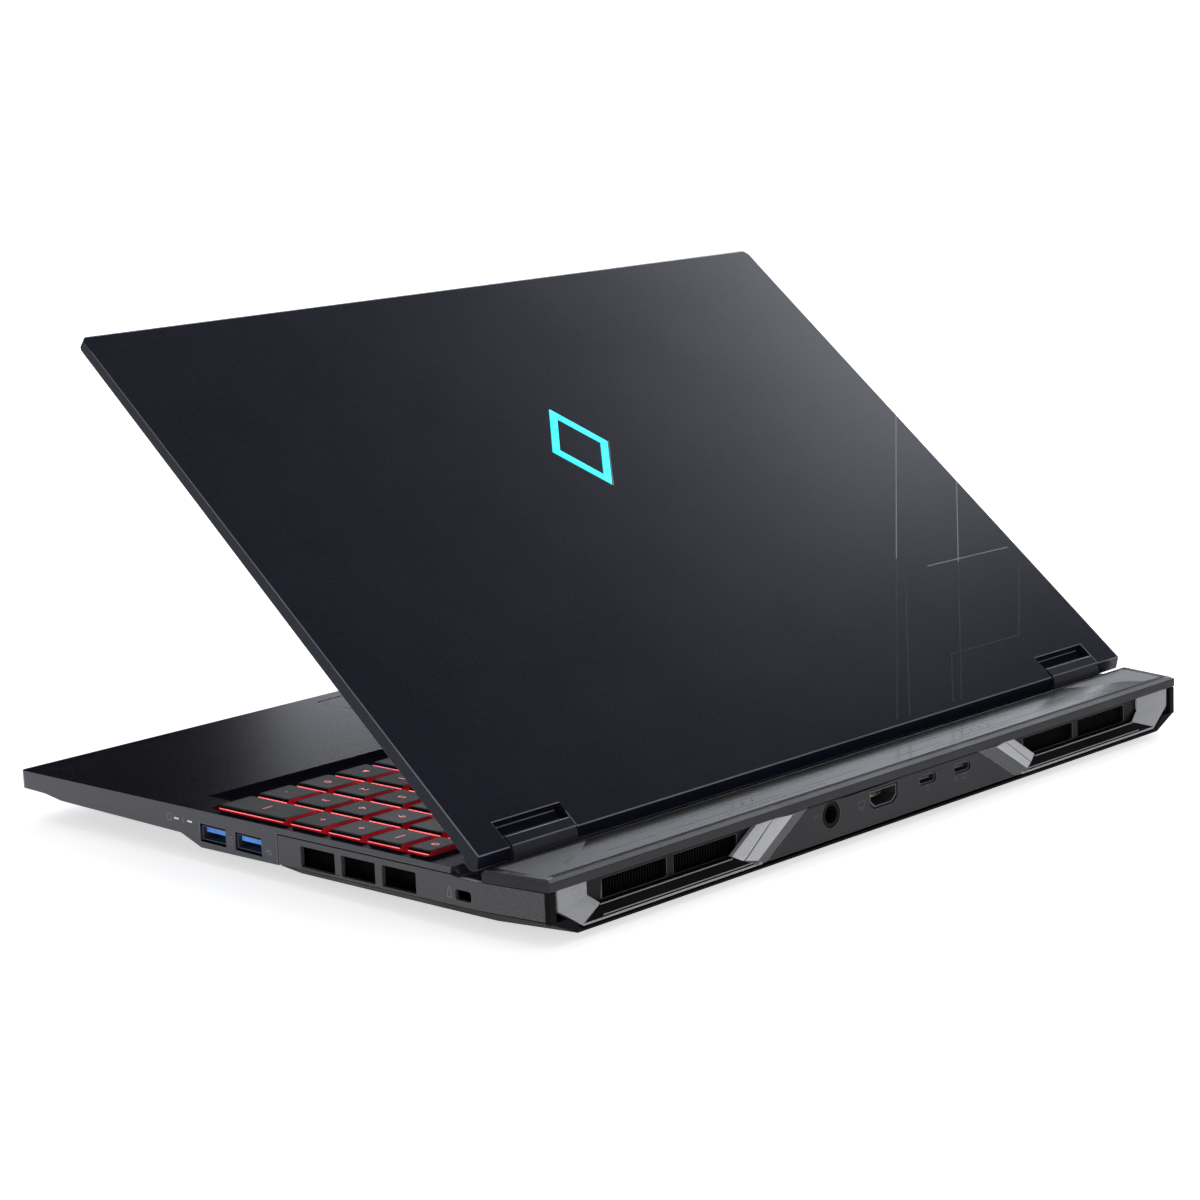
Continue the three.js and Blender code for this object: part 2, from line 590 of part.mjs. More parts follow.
const rearPipe = alongZ(roundedRect([-148, 148], [120.5, 127.5], 3.4), [16.6, 18.2]);
add(laptop, 'heat_pipe_rear', rearPipe, COPPER);

// The copper plate over the two processors, with the pipe that is soldered to it.
function coldPlate() {
  const plate = box([-42, 42], [38, 92], [8.6, 12.2]);
  const trunk = box([-8, 8], [60, 112], [11.2, 13.6]);
  const branch = alongZ(roundedRect([-84, 84], [108.5, 115.5], 3.4), [11.2, 13.6]);
  return join(plate, trunk, branch);
}
add(laptop, 'cold_plate', coldPlate(), COPPER);

// ---------------------------------------------------------------- electronics and battery
const BOARD_Z = 7.2;
const boardShape = outline([
  [-163, -38], [163, -38], [163, 7], [84, 7], [84, 117], [62, 117], [62, 136.4],
  [-62, 136.4], [-62, 117], [-84, 117], [-84, 7], [-163, 7],
]);
add(laptop, 'motherboard', cut(
  alongZ(boardShape, [BOARD_Z, BOARD_Z + 1]),
  box([-180, -162], [-20, 8], [6, 9]),
), BOARD);
add(laptop, 'battery', alongZ(roundedRect([-120, 120], [-108, -42], 3), [4.8, 11.6]), DARK_PLASTIC);
add(laptop, 'solid_state_drive', box([-74, 6], [-35, -13], [8.5, 10.7]), BOARD);
add(laptop, 'memory_module', box([14, 83], [-35, -5], [8.5, 11.7]), BOARD);
const rightSpeaker = alongZ(roundedRect([126, 148], [-92, -46], 4), [5, 12]);
add(laptop, 'speaker_right', rightSpeaker, DARK_PLASTIC);
add(laptop, 'speaker_left', mirrorX(rightSpeaker), DARK_PLASTIC);

// ---------------------------------------------------------------- hinges
const RIGHT_COVER = [HINGE_X - HINGE_COVER_WIDTH / 2, HINGE_X + HINGE_COVER_WIDTH / 2];
const aboutHinge = (points) => outline(points.map(([y, z]) => [HINGE_Y + y, HINGE_Z + z]));
const footZ = TROUGH_Z - HINGE_Z + GAP;

function hingeCover() {
  const tower = alongX(aboutHinge([
    [3.4, 1.6], [0.3, 4.1], [-2.6, 3.2], [-3.9, 0.6], [-3.6, footZ], [3.9, footZ], [4.2, -1.4],
  ]), RIGHT_COVER);
  const bore = alongX(circle(HINGE_Y, HINGE_Z, 3.1, 24), [RIGHT_COVER[0] - 1, RIGHT_COVER[1] - 1.4]);
  const legSlot = box([HINGE_X - 9.3, HINGE_X + 3.3], [HINGE_Y - 2, HINGE_Y + 2], [15, HINGE_Z]);
  return cut(tower, bore, legSlot);
}
const rightHingeCover = hingeCover();
add(laptop, 'hinge_cover_right', rightHingeCover, NAVY_METAL);
add(laptop, 'hinge_cover_left', mirrorX(rightHingeCover), NAVY_METAL);

// The steel sleeve that grips the shaft, with its leg and the foot that is screwed inside the base.
function hingeBracket() {
  const sleeve = alongX(circle(HINGE_Y, HINGE_Z, 2.7, 24), [HINGE_X - 13.5, HINGE_X + 11]);
  const leg = box([HINGE_X - 9, HINGE_X + 3], [HINGE_Y - 1.6, HINGE_Y + 1.6], [14.6, HINGE_Z - 1]);
  const foot = box([HINGE_X - 16, HINGE_X + 10], [92, 112], [14, 15.4]);
  const bore = alongX(circle(HINGE_Y, HINGE_Z, SHAFT_RADIUS + GAP, 20), [HINGE_X - 20, HINGE_X + 12]);
  return cut(join(sleeve, leg, foot), bore);
}
const rightBracket = hingeBracket();
add(laptop, 'hinge_bracket_right', rightBracket, STEEL);
add(laptop, 'hinge_bracket_left', mirrorX(rightBracket), STEEL);

// ---------------------------------------------------------------- keyboard
// The keyboard group lies in the deck's plane: its z = 0 is the deck's surface.
const keyboard = new THREE.Group();
keyboard.position.set(0, 0, deckZ(0));
keyboard.rotation.x = Math.atan(DECK_SLOPE);
laptop.add(keyboard);

function keyboardPlate() {
  const tray = box([-177.2, 177.2], [WELL_FRONT - 3, WELL_REAR + 1.5], [PLATE_TOP - PLATE_THICKNESS, -2.6]);
  const well = box([-176.2, 176.2], [WELL_FRONT - 2, WELL_REAR + 0.5], [PLATE_TOP, 0]);
  return cut(tray, well);
}
add(keyboard, 'keyboard_plate', keyboardPlate(), DARK_PLASTIC);

const columnX = (column) => KEY_LEFT + KEY_GAP / 2 + column * KEY_PITCH_X;
const rowY = (row) => KEY_FRONT + row * KEY_PITCH_Y;

// One cap: its top is smaller than its foot, as on every keyboard.
function keycap([x0, x1], [y0, y1]) {
  const bottom = KEY_TOP - KEY_HEIGHT;
  const ring = (inset, z) => [
    [x0 + inset, y0 + inset, z], [x1 - inset, y0 + inset, z],
    [x1 - inset, y1 - inset, z], [x0 + inset, y1 - inset, z],
  ];
  return loft([ring(0, bottom), ring(0.6, KEY_TOP)]);
}

function keySpan(column, units) {
  return [columnX(column), columnX(column + units) - KEY_GAP];
}

// Widths in key units, left to right; a negative width is left free for a key of its own.
const ROWS = [
  { name: 'key_row_bottom', widths: [1.25, 1, 1, 1.25, -5.5, 1, 1, 1, 1, 1, 1, 1, 1] },
  { name: 'key_row_lower', widths: [2.25, 1, 1, 1, 1, 1, 1, 1, 1, 1, 1, 1.75, 1, 1, 1, 1] },
  { name: 'key_row_home', widths: [1.75, 1, 1, 1, 1, 1, 1, 1, 1, 1, 1, 1, -2.25, 1, 1, 1, 1] },
  { name: 'key_row_upper', widths: [1.5, 1, 1, 1, 1, 1, 1, 1, 1, 1, 1, 1, 1, 1.5, 1, 1, 1, 1] },
  { name: 'key_row_number', widths: [1, 1, 1, 1, 1, 1, 1, 1, 1, 1, 1, 1, 1, 2, 1, 1, 1, 1] },
  { name: 'key_row_function', widths: Array(18).fill(1) },
];

function keyRow(widths, row) {
  const y0 = rowY(row);
  const depth = row === ROWS.length - 1 ? FUNCTION_ROW_DEPTH : KEY_PITCH_Y - KEY_GAP;
  const caps = [];
  let column = 0;
  for (const width of widths) {
    if (width > 0) {
      caps.push(keycap(keySpan(column, width), [y0, y0 + depth]));
    }
    column += Math.abs(width);
  }
  const bottom = KEY_TOP - KEY_HEIGHT;
  const end = columnX(column) - KEY_GAP - 1;
  const carrier = box([columnX(0) + 1, end], [y0 - 1.4, y0 + 0.3], [bottom, bottom + 0.7]);
  return join(carrier, ...caps);
}
ROWS.forEach(({ name, widths }, row) => add(keyboard, name, keyRow(widths, row), KEYCAP));

const singleDepth = (row, rows) => [rowY(row) + 0.6, rowY(row + rows) - KEY_GAP];
add(keyboard, 'key_space', keycap(keySpan(4.5, 5.5), singleDepth(0, 1)), KEYCAP);
add(keyboard, 'key_enter', keycap(keySpan(12.75, 2.25), singleDepth(2, 1)), KEYCAP);
add(keyboard, 'key_numpad_enter', keycap(keySpan(KEY_COLUMNS - 1, 1), singleDepth(0, 2)), KEYCAP);
const powerY = rowY(ROWS.length - 1);
const powerDepth = [powerY, powerY + FUNCTION_ROW_DEPTH];
add(keyboard, 'power_button', keycap(keySpan(KEY_COLUMNS - 1, 1), powerDepth), KEYCAP);

const padShape = roundedRect([TOUCHPAD.x0, TOUCHPAD.x1], [TOUCHPAD.y0, TOUCHPAD.y1], 2.5);
add(keyboard, 'touchpad', alongZ(padShape, [-TOUCHPAD.thickness - 0.1, -0.1]), NAVY_METAL);

// ---------------------------------------------------------------- lid
// The lid group turns about the hinge axis. Inside it the lid lies flat: -y runs from the axis
// to the free edge, +z is the outside.
const lid = new THREE.Group();
lid.position.set(0, HINGE_Y, HINGE_Z);
lid.rotation.x = -LID_OPENING;
laptop.add(lid);

const outerZ = (v) => LID_OUTER - v * LID_TAPER;
const CHIN = 11;
const POCKET_END = LID_LENGTH - 3;

function lidBody() {
  const barrel = [];
  for (let degrees = -20; degrees >= -140; degrees -= 15) {
    const angle = THREE.MathUtils.degToRad(degrees);
    barrel.push([BARREL_RADIUS * Math.cos(angle), BARREL_RADIUS * Math.sin(angle)]);
  }
  const profile = outline([
    [1.7, outerZ(-1.7)], ...barrel, [-6.5, LID_INNER],
    [-LID_LENGTH + 0.5, LID_INNER], [-LID_LENGTH, LID_INNER + 0.5],
    [-LID_LENGTH, outerZ(LID_LENGTH) - 0.7], [-LID_LENGTH + 0.8, outerZ(LID_LENGTH)],
  ]);
  const plan = roundedRect([-LID_HALF, LID_HALF], [-LID_LENGTH, 20], 4.5);
  return common(alongX(profile, [-LID_HALF, LID_HALF]), alongZ(plan, [-10, 10]));
}

// A plain diamond outline; the margin widens it on both its sides, to make its seat.
function emblemShape(margin) {
  const centre = -157.5;
  const diamond = (a, b) => [[a, centre], [0, centre + b], [-a, centre], [0, centre - b]];
  const shape = outline(diamond(15 + 1.25 * margin, 21 + 1.75 * margin));
  shape.holes.push(outline(diamond(11.1 - 1.25 * margin, 15.5 - 1.75 * margin).reverse()));
  return shape;
}

function lidCover() {
  const pocket = alongX(outline([
    [-CHIN, LID_INNER - 1], [-CHIN, outerZ(CHIN) - LID_SKIN],
    [-POCKET_END, outerZ(POCKET_END) - LID_SKIN], [-POCKET_END, LID_INNER - 1],
  ]), [-LID_HALF + 2, LID_HALF - 2]);
  const halfNotch = HINGE_NOTCH_WIDTH / 2;
  const notchSpan = (side) => [side * HINGE_X - halfNotch, side * HINGE_X + halfNotch];
  const notches = [1, -1].flatMap((side) => [
    box(notchSpan(side), [-5, 10], [-10, 10]),
    box(notchSpan(side), [-9, 10], [-1, 10]),
  ]);
  const boreSpan = (side) => (side > 0 ? [117, 134] : [-134, -117]);
  const shaftBore = [1, -1].map((side) => alongX(circle(0, 0, 2.2, 20), boreSpan(side)));
  const armPocket = [1, -1].map((side) => box(
    side > 0 ? [117, 131] : [-131, -117],
    [-CHIN - 1, 0],
    [-0.6, outerZ(0) - LID_SKIN - 0.1],
  ));
  const emblemSeat = alongZ(emblemShape(0.3), [outerZ(157) - 0.8, 10]);
  return cut(lidBody(), pocket, ...notches, ...shaftBore, ...armPocket, emblemSeat);
}
add(lid, 'lid_cover', lidCover(), NAVY_METAL);
add(lid, 'lid_emblem', alongZ(emblemShape(0), [outerZ(157) - 0.5, outerZ(157) + 0.05]), [0x38e4ef, 0.3, 0]);

function screenBezel() {
  const plan = roundedRect([-176.5, 176.5], [-POCKET_END + 0.4, -CHIN - 0.4], 2.5);
  const plate = alongZ(plan, [LID_INNER, LID_INNER + 0.8]);
  const screenSpan = [-SCREEN_TOP, -SCREEN_TOP + SCREEN_HEIGHT];
  const opening = box([-SCREEN_WIDTH / 2, SCREEN_WIDTH / 2], screenSpan, [-5, 5]);
  const lensHole = alongZ(circle(0, -SCREEN_TOP - 2.1, 1.2, 16), [-5, 5]);
  return cut(plate, opening, lensHole);
}
add(lid, 'screen_bezel', screenBezel(), DARK_PLASTIC);
const displaySpan = [-SCREEN_TOP - 0.6, -SCREEN_TOP + SCREEN_HEIGHT + 4];
const halfDisplay = SCREEN_WIDTH / 2 + 1.5;
add(lid, 'display_panel', box([-halfDisplay, halfDisplay], displaySpan, [-1.1, -0.2]), GLOSS_BLACK);

function webcam() {
  const board = box([-14, 14], [-POCKET_END + 0.5, -SCREEN_TOP - 0.9], [-1.1, -0.1]);
  const lens = alongZ(circle(0, -SCREEN_TOP - 2.1, 0.9, 16), [-2.1, -0.6]);
  return join(board, lens);
}
add(lid, 'webcam_module', webcam(), GLOSS_BLACK);

// The steel arm inside the lid, with the shaft that turns in the bracket's sleeve.
function hingeArm() {
  const plate = box([118, 130], [-56, -1], [0, 1.1]);
  const eye = alongX(circle(0, 0, 1.8, 20), [118, 132]);
  const shaft = alongX(circle(0, 0, SHAFT_RADIUS, 20), [125, 158]);
  return join(plate, eye, shaft);
}
const rightArm = hingeArm();
add(lid, 'hinge_arm_right', rightArm, STEEL);
add(lid, 'hinge_arm_left', mirrorX(rightArm), STEEL);

export default laptop;
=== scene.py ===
"""Looks of a 16-inch gaming laptop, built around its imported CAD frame.

Every length is in millimetres until a mesh is made; places come from the CAD nodes' boxes.
"""

import json
import math

import bmesh
import bpy
from mathutils import Matrix, Vector


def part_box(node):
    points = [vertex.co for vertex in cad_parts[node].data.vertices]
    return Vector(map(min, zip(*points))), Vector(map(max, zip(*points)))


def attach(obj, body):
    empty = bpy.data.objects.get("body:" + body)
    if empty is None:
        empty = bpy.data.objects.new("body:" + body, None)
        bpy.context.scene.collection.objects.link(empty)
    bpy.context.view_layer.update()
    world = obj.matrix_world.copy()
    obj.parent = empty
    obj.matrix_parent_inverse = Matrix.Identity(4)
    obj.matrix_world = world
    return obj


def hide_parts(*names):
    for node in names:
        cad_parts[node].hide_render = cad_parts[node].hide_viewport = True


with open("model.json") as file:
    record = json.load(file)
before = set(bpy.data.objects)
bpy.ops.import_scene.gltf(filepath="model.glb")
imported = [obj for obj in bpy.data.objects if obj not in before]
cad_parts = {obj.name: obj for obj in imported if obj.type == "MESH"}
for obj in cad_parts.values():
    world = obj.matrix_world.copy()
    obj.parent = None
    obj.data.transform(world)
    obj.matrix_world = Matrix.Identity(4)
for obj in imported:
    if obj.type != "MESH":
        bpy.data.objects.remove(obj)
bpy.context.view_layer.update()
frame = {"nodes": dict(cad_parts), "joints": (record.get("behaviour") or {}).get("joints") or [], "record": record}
NODES = frame["nodes"]
BODY_OF = {n: b for b, ns in frame["record"]["behaviour"]["bodies"].items() for n in ns}
SLOT_OF = {s["node"]: s["material_slot"] for s in frame["record"]["subparts"]}

MM = 0.001
SIDES = {"right": 1, "left": -1}


# ---------------------------------------------------------------- frames taken from the CAD
def box_mm(node):
    """A CAD node's lowest and highest corner, in millimetres."""
    low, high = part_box(node)
    return low / MM, high / MM


def largest_face(node, toward):
    """The biggest flat face of a node that looks towards a direction."""
    faces = [p for p in NODES[node].data.polygons if p.normal.dot(toward) > 0.7]
    return max(faces, key=lambda p: p.area)


def lid_matrix():
    """The flat frame of the lid: -y runs from the hinge axis to the free edge, +z is outside."""
    hinge = next(j for j in frame["joints"] if j["name"] == "lid_hinge")
    normal = largest_face("display_panel", Vector((0, 0.6, 0.8))).normal
    opening = math.atan2(normal.y, normal.z)
    return Matrix.Translation(Vector(hinge["pos_m"]) / MM) @ Matrix.Rotation(-opening, 4, "X")


def deck_matrix():
    """The frame of the sloping deck: z = 0 is its surface."""
    face = largest_face("palmrest_deck", Vector((0, 0, 1)))
    slope = math.atan2(-face.normal.y, face.normal.z)
    point = face.center / MM
    height = point.z - point.y * math.tan(slope)
    return Matrix.Translation((0, 0, height)) @ Matrix.Rotation(slope, 4, "X")


BASE = Matrix.Identity(4)
LID = lid_matrix()
DECK = deck_matrix()


# ---------------------------------------------------------------- material building blocks
class Nodes:
    """A material's node tree, with one short method for each kind of node it uses."""

    def __init__(self, name):
        self.material = bpy.data.materials.new(name)
        self.material.use_nodes = True
        self.tree = self.material.node_tree
        self.shader = self.tree.nodes["Principled BSDF"]
        self.place = self.tree.nodes.new("ShaderNodeTexCoord").outputs["Object"]

    def link(self, source, target):
        self.tree.links.new(source, target)

    def node(self, kind, **settings):
        made = self.tree.nodes.new(kind)
        for key, value in settings.items():
            setattr(made, key, value)
        return made

    def noise(self, scale, detail=2.0, roughness=0.5, stretch=None):
        made = self.node("ShaderNodeTexNoise")
        made.inputs["Scale"].default_value = scale
        made.inputs["Detail"].default_value = detail
        made.inputs["Roughness"].default_value = roughness
        place = self.place
        if stretch:
            mapping = self.node("ShaderNodeMapping")
            mapping.inputs["Scale"].default_value = stretch
            self.link(place, mapping.inputs["Vector"])
            place = mapping.outputs["Vector"]
        self.link(place, made.inputs["Vector"])
        return made.outputs["Fac"]

    def span(self, value, source, target):
        made = self.node("ShaderNodeMapRange")
        for socket, number in zip(("From Min", "From Max", "To Min", "To Max"), (*source, *target)):
            made.inputs[socket].default_value = number
        self.link(value, made.inputs["Value"])
        return made.outputs["Result"]

    def mix(self, factor, first, second):
        """A colour between two; each is a socket or an RGB triple."""
        made = self.node("ShaderNodeMix", data_type="RGBA")
        self.link(factor, made.inputs["Factor"])
        for socket, colour in ((made.inputs["A"], first), (made.inputs["B"], second)):
            for candidate in made.inputs:
                if candidate.type == "RGBA" and candidate.name == socket.name:
                    socket = candidate
            if isinstance(colour, tuple):
                socket.default_value = (*colour, 1)
            else:
                self.link(colour, socket)
        return next(o for o in made.outputs if o.type == "RGBA")

    def bump(self, height, strength, depth):
        made = self.node("ShaderNodeBump")
        made.inputs["Strength"].default_value = strength
        made.inputs["Distance"].default_value = depth
        self.link(height, made.inputs["Height"])
        self.link(made.outputs["Normal"], self.shader.inputs["Normal"])


GRAIN_DEPTH = 0.04 * MM
SCRATCH_DEPTH = 0.03 * MM


def painted(name, low, high, roughness, grain, speckle=None, metallic=0.0, level=0.5, bump=0.15, coat=0.0,
            tint=(1, 1, 1)):
    """A surface whose colour drifts from low to high, with a fine grain and optional speckles.

    grain is the number of grains in a metre; speckle is (number in a metre, share covered, colour).
    """
    n = Nodes(name)
    clouds = n.noise(28, 4)
    colour = n.mix(n.span(clouds, (0.3, 0.7), (0, 1)), low, high)
    if speckle:
        count, share, spot_colour = speckle
        spots = n.noise(count, 1.0)
        edge = 0.62 - 0.3 * share
        colour = n.mix(n.span(spots, (edge, edge + 0.1), (0, 1)), colour, spot_colour)
    n.link(colour, n.shader.inputs["Base Color"])
    fine = n.noise(grain, 2.0)
    n.link(n.span(clouds, (0.3, 0.7), roughness), n.shader.inputs["Roughness"])
    n.bump(fine, bump, GRAIN_DEPTH)
    n.shader.inputs["Metallic"].default_value = metallic
    n.shader.inputs["Specular IOR Level"].default_value = level
    n.shader.inputs["Specular Tint"].default_value = (*tint, 1)
    n.shader.inputs["Coat Weight"].default_value = coat
    n.shader.inputs["Coat Roughness"].default_value = 0.08
    return n.material


def brushed(name, low, high, roughness, stretch, metallic=1.0):
    """Metal with fine parallel scratches; stretch is long across them."""
    n = Nodes(name)
    scratches = n.noise(60, 5, 0.6, stretch)
    n.link(n.mix(n.span(scratches, (0.3, 0.7), (0, 1)), low, high), n.shader.inputs["Base Color"])
    n.link(n.span(scratches, (0.3, 0.7), roughness), n.shader.inputs["Roughness"])
    n.bump(scratches, 0.1, SCRATCH_DEPTH)
    n.shader.inputs["Metallic"].default_value = metallic
    return n.material


ZONE_EDGE = 97 * MM
ZONE_BLEND = 4 * MM
RED, BLUE = (1.0, 0.02, 0.045), (0.03, 0.09, 1.0)


def glowing(name, strength, pale=0.0):
    """Key lighting: red in the zone at the right-hand end, blue in the others; pale whitens it."""
    n = Nodes(name)
    split = n.node("ShaderNodeSeparateXYZ")
    n.link(n.place, split.inputs["Vector"])
    zone = n.span(split.outputs["X"], (ZONE_EDGE - ZONE_BLEND, ZONE_EDGE + ZONE_BLEND), (0, 1))
    tint = [tuple(c + pale * (1 - c) for c in colour) for colour in (BLUE, RED)]
    colour = n.mix(zone, *tint)
    haze = n.span(n.noise(90, 2.0), (0.3, 0.7), (0.55, 1.0))
    dim = n.mix(haze, (0, 0, 0), colour)
    n.link(dim, n.shader.inputs["Base Color"])
    n.link(dim, n.shader.inputs["Emission Color"])
    n.shader.inputs["Emission Strength"].default_value = strength
    n.shader.inputs["Roughness"].default_value = 0.5
    return n.material


def glowing_insert(name, low, high, strength):
    """A glowing insert whose brightness drifts a little along it: a real lamp behind the emblem, a painted glow on
    the USB tongues.
    """
    n = Nodes(name)
    drift = n.span(n.noise(120, 3), (0.3, 0.7), (0, 1))
    colour = n.mix(drift, low, high)
    n.link(colour, n.shader.inputs["Base Color"])
    n.link(colour, n.shader.inputs["Emission Color"])
    n.link(n.span(n.noise(900, 2), (0.3, 0.7), (0.25, 0.4)), n.shader.inputs["Roughness"])
    n.shader.inputs["Emission Strength"].default_value = strength
    return n.material


def circuit_board(name):
    """Green solder mask with lighter tracks."""
    n = Nodes(name)
    checks = n.node("ShaderNodeTexBrick")
    checks.inputs["Scale"].default_value = 160
    checks.inputs["Mortar Size"].default_value = 0.06
    checks.inputs["Color1"].default_value = (0.006, 0.05, 0.024, 1)
    checks.inputs["Color2"].default_value = (0.008, 0.062, 0.03, 1)
    checks.inputs["Mortar"].default_value = (0.03, 0.14, 0.07, 1)
    n.link(n.place, checks.inputs["Vector"])
    n.link(checks.outputs["Color"], n.shader.inputs["Base Color"])
    n.link(n.span(n.noise(400, 2), (0.3, 0.7), (0.3, 0.5)), n.shader.inputs["Roughness"])
    n.bump(checks.outputs["Fac"], 0.3, 0.00005)
    return n.material


NAVY_LOW, NAVY_HIGH = (0.0088, 0.0094, 0.0176), (0.0102, 0.0109, 0.0204)
NAVY_SPECKLE = (3400, 0.2, (0.021, 0.022, 0.036))
NAVY_TINT = (0.02, 0.021, 0.034)
NAVY = painted("navy_metal", NAVY_LOW, NAVY_HIGH, (0.243, 0.257), 2600, speckle=NAVY_SPECKLE, bump=0.05,
               tint=NAVY_TINT)
NAVY_DECK = painted("navy_deck", NAVY_LOW, NAVY_HIGH, (0.26, 0.275), 2600, speckle=NAVY_SPECKLE, bump=0.05,
                    level=0.18, tint=NAVY_TINT)
# A lighter navy for side faces of the deck and hinge covers: painted light, standing in for the pale floor they
# reflect.
NAVY_SIDE_PAINTED_LIGHT = painted("navy_side_painted_light", (0.029, 0.030, 0.041), (0.034, 0.035, 0.047), (0.33, 0.38), 2600,
                    speckle=(3400, 0.2, (0.045, 0.046, 0.06)), bump=0.05)
# A lighter navy for the deck's rounded edges: a painted highlight.
NAVY_DECK_HIGHLIGHT = painted("navy_deck_painted_highlight", (0.11, 0.112, 0.135), (0.15, 0.153, 0.18), (0.35, 0.45), 2600)
# A lighter navy for the rounded edges of the lid, the hinge covers and the navy CAD parts: a painted highlight.
NAVY_HIGHLIGHT = painted("navy_painted_highlight", (0.16, 0.165, 0.20), (0.21, 0.215, 0.255), (0.28, 0.38), 2600)
NAVY_SATIN = painted("navy_satin", (0.012, 0.0125, 0.019), (0.016, 0.0165, 0.024), (0.33, 0.38), 2600,
                     bump=0.08, level=0.1)
# A light grey for lid grooves that catch the light: a painted highlight.
GROOVE_HIGHLIGHT = painted("groove_painted_highlight", (0.16, 0.17, 0.20), (0.2, 0.21, 0.24), (0.35, 0.45), 3000)
# Near-black for grooves, recesses and gaps: painted shade.
GROOVE_SHADE = painted("groove_painted_shade", (0.002, 0.002, 0.003), (0.004, 0.004, 0.006), (0.5, 0.6), 3000)
SPECKLED = painted("speckled_grey", (0.036, 0.036, 0.041), (0.046, 0.046, 0.052), (0.45, 0.55), 3600,
                   speckle=(3800, 0.4, (0.09, 0.09, 0.097)), bump=0.2)
# A paler copy of the speckled grey, kept for rounded edges: a painted highlight.
SPECKLED_HIGHLIGHT = painted("speckled_painted_highlight", (0.085, 0.085, 0.088), (0.11, 0.11, 0.114), (0.45, 0.55), 3600,
                        speckle=(3800, 0.5, (0.21, 0.21, 0.215)), bump=0.2)
SILVER = painted("silver_trim", (0.46, 0.468, 0.48), (0.51, 0.518, 0.53), (0.4, 0.5), 3600,
                 speckle=(3800, 0.5, (0.6, 0.605, 0.615)), bump=0.2)
# Shaded copies of the silver trim: painted shade on the outer plates and sill lines, a lighter painted half-shade
# on the ramps.
SILVER_PAINTED_SHADE = painted("silver_shaded", (0.21, 0.215, 0.225), (0.25, 0.255, 0.265), (0.4, 0.5), 3600,
                     speckle=(3800, 0.5, (0.32, 0.325, 0.335)), bump=0.2)
SILVER_PAINTED_HALF_SHADE = painted("silver_ramp_half_shaded", (0.30, 0.305, 0.315), (0.34, 0.345, 0.355), (0.4, 0.5), 3600,
                     speckle=(3800, 0.5, (0.42, 0.425, 0.435)), bump=0.2)
# A pale silver for rounded edges: a painted highlight. The side lamp windows use it too.
SILVER_HIGHLIGHT = painted("silver_painted_highlight", (0.75, 0.76, 0.78), (0.85, 0.86, 0.88), (0.25, 0.35), 3600,
                      metallic=0.2)
ALONG_X = (3, 40, 40)
# A dark steel for the port shells deep in their sockets: painted shade.
SHADED_SHELL = brushed("port_shell_painted_shade", (0.03, 0.03, 0.034), (0.06, 0.06, 0.065), (0.38, 0.48), ALONG_X, metallic=0.2)
CHARCOAL = painted("charcoal_plastic", (0.0135, 0.0130, 0.0160), (0.018, 0.0175, 0.0205), (0.5, 0.62), 3200,
                   bump=0.25, level=0.35)
# A lighter charcoal for rounded edges: a painted highlight.
CHARCOAL_HIGHLIGHT = painted("charcoal_painted_highlight", (0.05, 0.05, 0.055), (0.08, 0.08, 0.085), (0.4, 0.5), 3200)
MATT_BLACK = painted("matt_black_plastic", (0.0055, 0.0055, 0.006), (0.009, 0.009, 0.010), (0.5, 0.65), 3000,
                     bump=0.3, level=0.04)
BLACK = painted("black_plastic", (0.0055, 0.0055, 0.006), (0.009, 0.009, 0.010), (0.45, 0.6), 3000, bump=0.3,
              level=0.15)
GLOSS = painted("gloss_window", (0.010, 0.0105, 0.011), (0.014, 0.0145, 0.015), (0.16, 0.2), 700,
                bump=0.02, coat=0.04, level=0.4)
FIN_BLACK = painted("black_fin_metal", (0.004, 0.004, 0.0045), (0.008, 0.008, 0.009), (0.35, 0.5), 2500,
                    metallic=0.15, level=0.05)
STEEL = brushed("bright_steel", (0.42, 0.42, 0.43), (0.62, 0.62, 0.63), (0.22, 0.34), ALONG_X)
COPPER = brushed("drawn_copper", (0.52, 0.24, 0.12), (0.68, 0.34, 0.18), (0.28, 0.4), (2, 40, 40))
RUBBER = painted("matte_rubber", (0.010, 0.010, 0.011), (0.016, 0.016, 0.017), (0.8, 0.92), 1600, bump=0.5)
KEY = painted("keycap_plastic", (0.0135, 0.013, 0.0145), (0.018, 0.0173, 0.019), (0.5, 0.6), 2600, bump=0.2,
            level=0.12)
# A lighter cap plastic for the ring round the top edge: a painted highlight.
KEY_HIGHLIGHT = painted("keycap_painted_highlight", (0.06, 0.052, 0.055), (0.085, 0.07, 0.074), (0.35, 0.45), 2600,
                 level=0.3)
BATTERY = painted("battery_wrap", (0.012, 0.012, 0.013), (0.020, 0.020, 0.022), (0.35, 0.5), 500, bump=0.4)
GLASS = painted("display_glass", (0.004, 0.004, 0.005), (0.006, 0.006, 0.008), (0.06, 0.11), 300,
                bump=0.01, coat=0.5)
BOARD = circuit_board("circuit_board")
EMBLEM = glowing_insert("emblem_light", (0.015, 0.62, 0.72), (0.05, 0.80, 0.88), 1.0)
